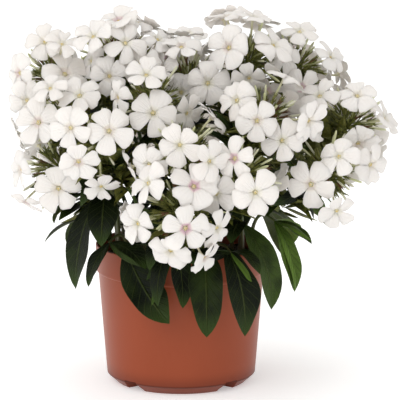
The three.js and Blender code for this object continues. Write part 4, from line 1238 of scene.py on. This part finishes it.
def stand_of_calyces(bm, head, chance):
    """The branching stalks inside a head, with a calyx or a bud at the end of each."""
    u, v = sideways(head.axis)
    hubs = [head.middle - head.axis * 9]
    for k in range(HUBS):
        turn = 2 * math.pi * k / HUBS
        out = head.axis * 0.35 + u * math.cos(turn) + v * math.sin(turn)
        hubs.append(head.middle - head.axis * 5 + out * 5)
    for hub in hubs[1:]:
        mark(bm, rod(bm, head.base - head.axis * 1.5, hub, 1.1, 0.8, 5, True), 0.3)
    flowers = [(unit(f.eye - head.middle), FLOWER_CALYX_AT, 1.0, True) for f in head.florets]
    spares = []
    for k in range(SPARE_CALYCES):
        polar = math.acos(1 - (k + 0.5) / SPARE_CALYCES * 1.35)
        turn = math.radians(k * GOLDEN_ANGLE + head.middle[0] * 7)
        way = head.axis * math.cos(polar) + spun(u, v, turn) * math.sin(polar)
        way = unit(way + vec(*(chance.uniform(-0.15, 0.15) for _ in range(3))))
        spares.append((way, chance.uniform(9, 17), chance.uniform(0.75, 1.1), False))
    for way, at, size, flowering in flowers + spares:
        if not flowering and any(way @ other[0] > BESIDE_A_FLOWER for other in flowers):
            continue
        foot = head.middle + way * at
        hub = min(hubs, key=lambda p: np.linalg.norm(p - foot))
        mark(bm, rod(bm, hub, foot, 0.5, 0.6, 4), 0.35)
        calyx(bm, foot, way, size, chance.uniform(0.12, 0.4), chance.random())
        if not flowering and chance.random() < BUD_SHARE:
            long = chance.uniform(7, 16)
            end = foot + way * (CALYX_LENGTH * size + long + 1)
            if is_clear(Sheet(ribbons([foot, end], 1.8)), head):
                bud(bm, foot + way * 3, way, CALYX_LENGTH * size - 3 + long,
                    0.9 + long * 0.055, chance.random())


for head in heads:
    name = "head_" + head.name
    bm = new_mesh()
    bm.verts.layers.float.new("blush")
    for floret in head.florets:
        open_flower(bm, floret, head_chance)
    if head.florets:
        piece_of(bm, name + "_flowers", ["flower_head_" + head.name], "petals", petals.material,
                 flower_tube.material, pollen.material)
    bm = new_mesh()
    stand_of_calyces(bm, head, head_chance)
    leaflets_of(bm, head, head_chance)
    piece_of(bm, name + "_calyces", ["flower_head_" + head.name], "leaves", green.material,
             bud_skin.material)

# ------------------------------------------------------------------- floor and lights
# A plain white studio floor that glows a little, and soft boxes in front of the plant, to both
# its sides and over it.
FLOOR_HALF_WIDTH = 8
paper = Paint("studio_paper", Roughness=0.9, Emission_Color=(0.96, 0.98, 1, 1),
              Emission_Strength=0.36)
paper.finish(Base_Color=paper.mix(paper.noise(3, 2), (0.90, 0.90, 0.90), (0.885, 0.885, 0.89)))
flat = bmesh.new()
bmesh.ops.create_grid(flat, x_segments=1, y_segments=1, size=FLOOR_HALF_WIDTH)
floor = object_of(flat, "floor", paper.material)


def soft_box(name, place, aim, size, power, colour):
    """A lamp with an oblong face, turned to face a point."""
    lamp = bpy.data.lights.new(name, "AREA")
    lamp.shape, lamp.size, lamp.size_y = "RECTANGLE", *size
    lamp.energy, lamp.color = power, colour
    box = in_scene(name, lamp)
    box.location = place
    box.rotation_euler = (Vector(aim) - Vector(place)).to_track_quat("-Z", "Y").to_euler()


soft_box("key", (-1.3, -1.7, 1.9), (0, 0, 0.2), (1.4, 1.4), 12.5, (1.0, 0.99, 0.985))
soft_box("front", (-1.1, -2.4, 1.1), (0, 0, 0.2), (1.8, 1.8), 12, (1.0, 0.99, 0.985))
soft_box("right", (1.9, -0.7, 0.8), (0, 0, 0.15), (1.0, 1.6), 0.6, (0.97, 0.98, 1.0))
soft_box("left_rim", (-1.9, 0.5, 0.7), (0, 0, 0.1), (0.8, 1.5), 3.8, (1.0, 0.98, 0.97))
soft_box("top", (0, 0.5, 2.3), (0, 0, 0.2), (1.6, 1.6), 8, (1, 1, 1))
world = bpy.data.worlds.new("studio")
world.use_nodes = True
world.node_tree.nodes["Background"].inputs["Color"].default_value = (1.0, 0.985, 0.955, 1)
world.node_tree.nodes["Background"].inputs["Strength"].default_value = 0.80
bpy.context.scene.world = world
bpy.context.scene.view_settings.view_transform = "Standard"
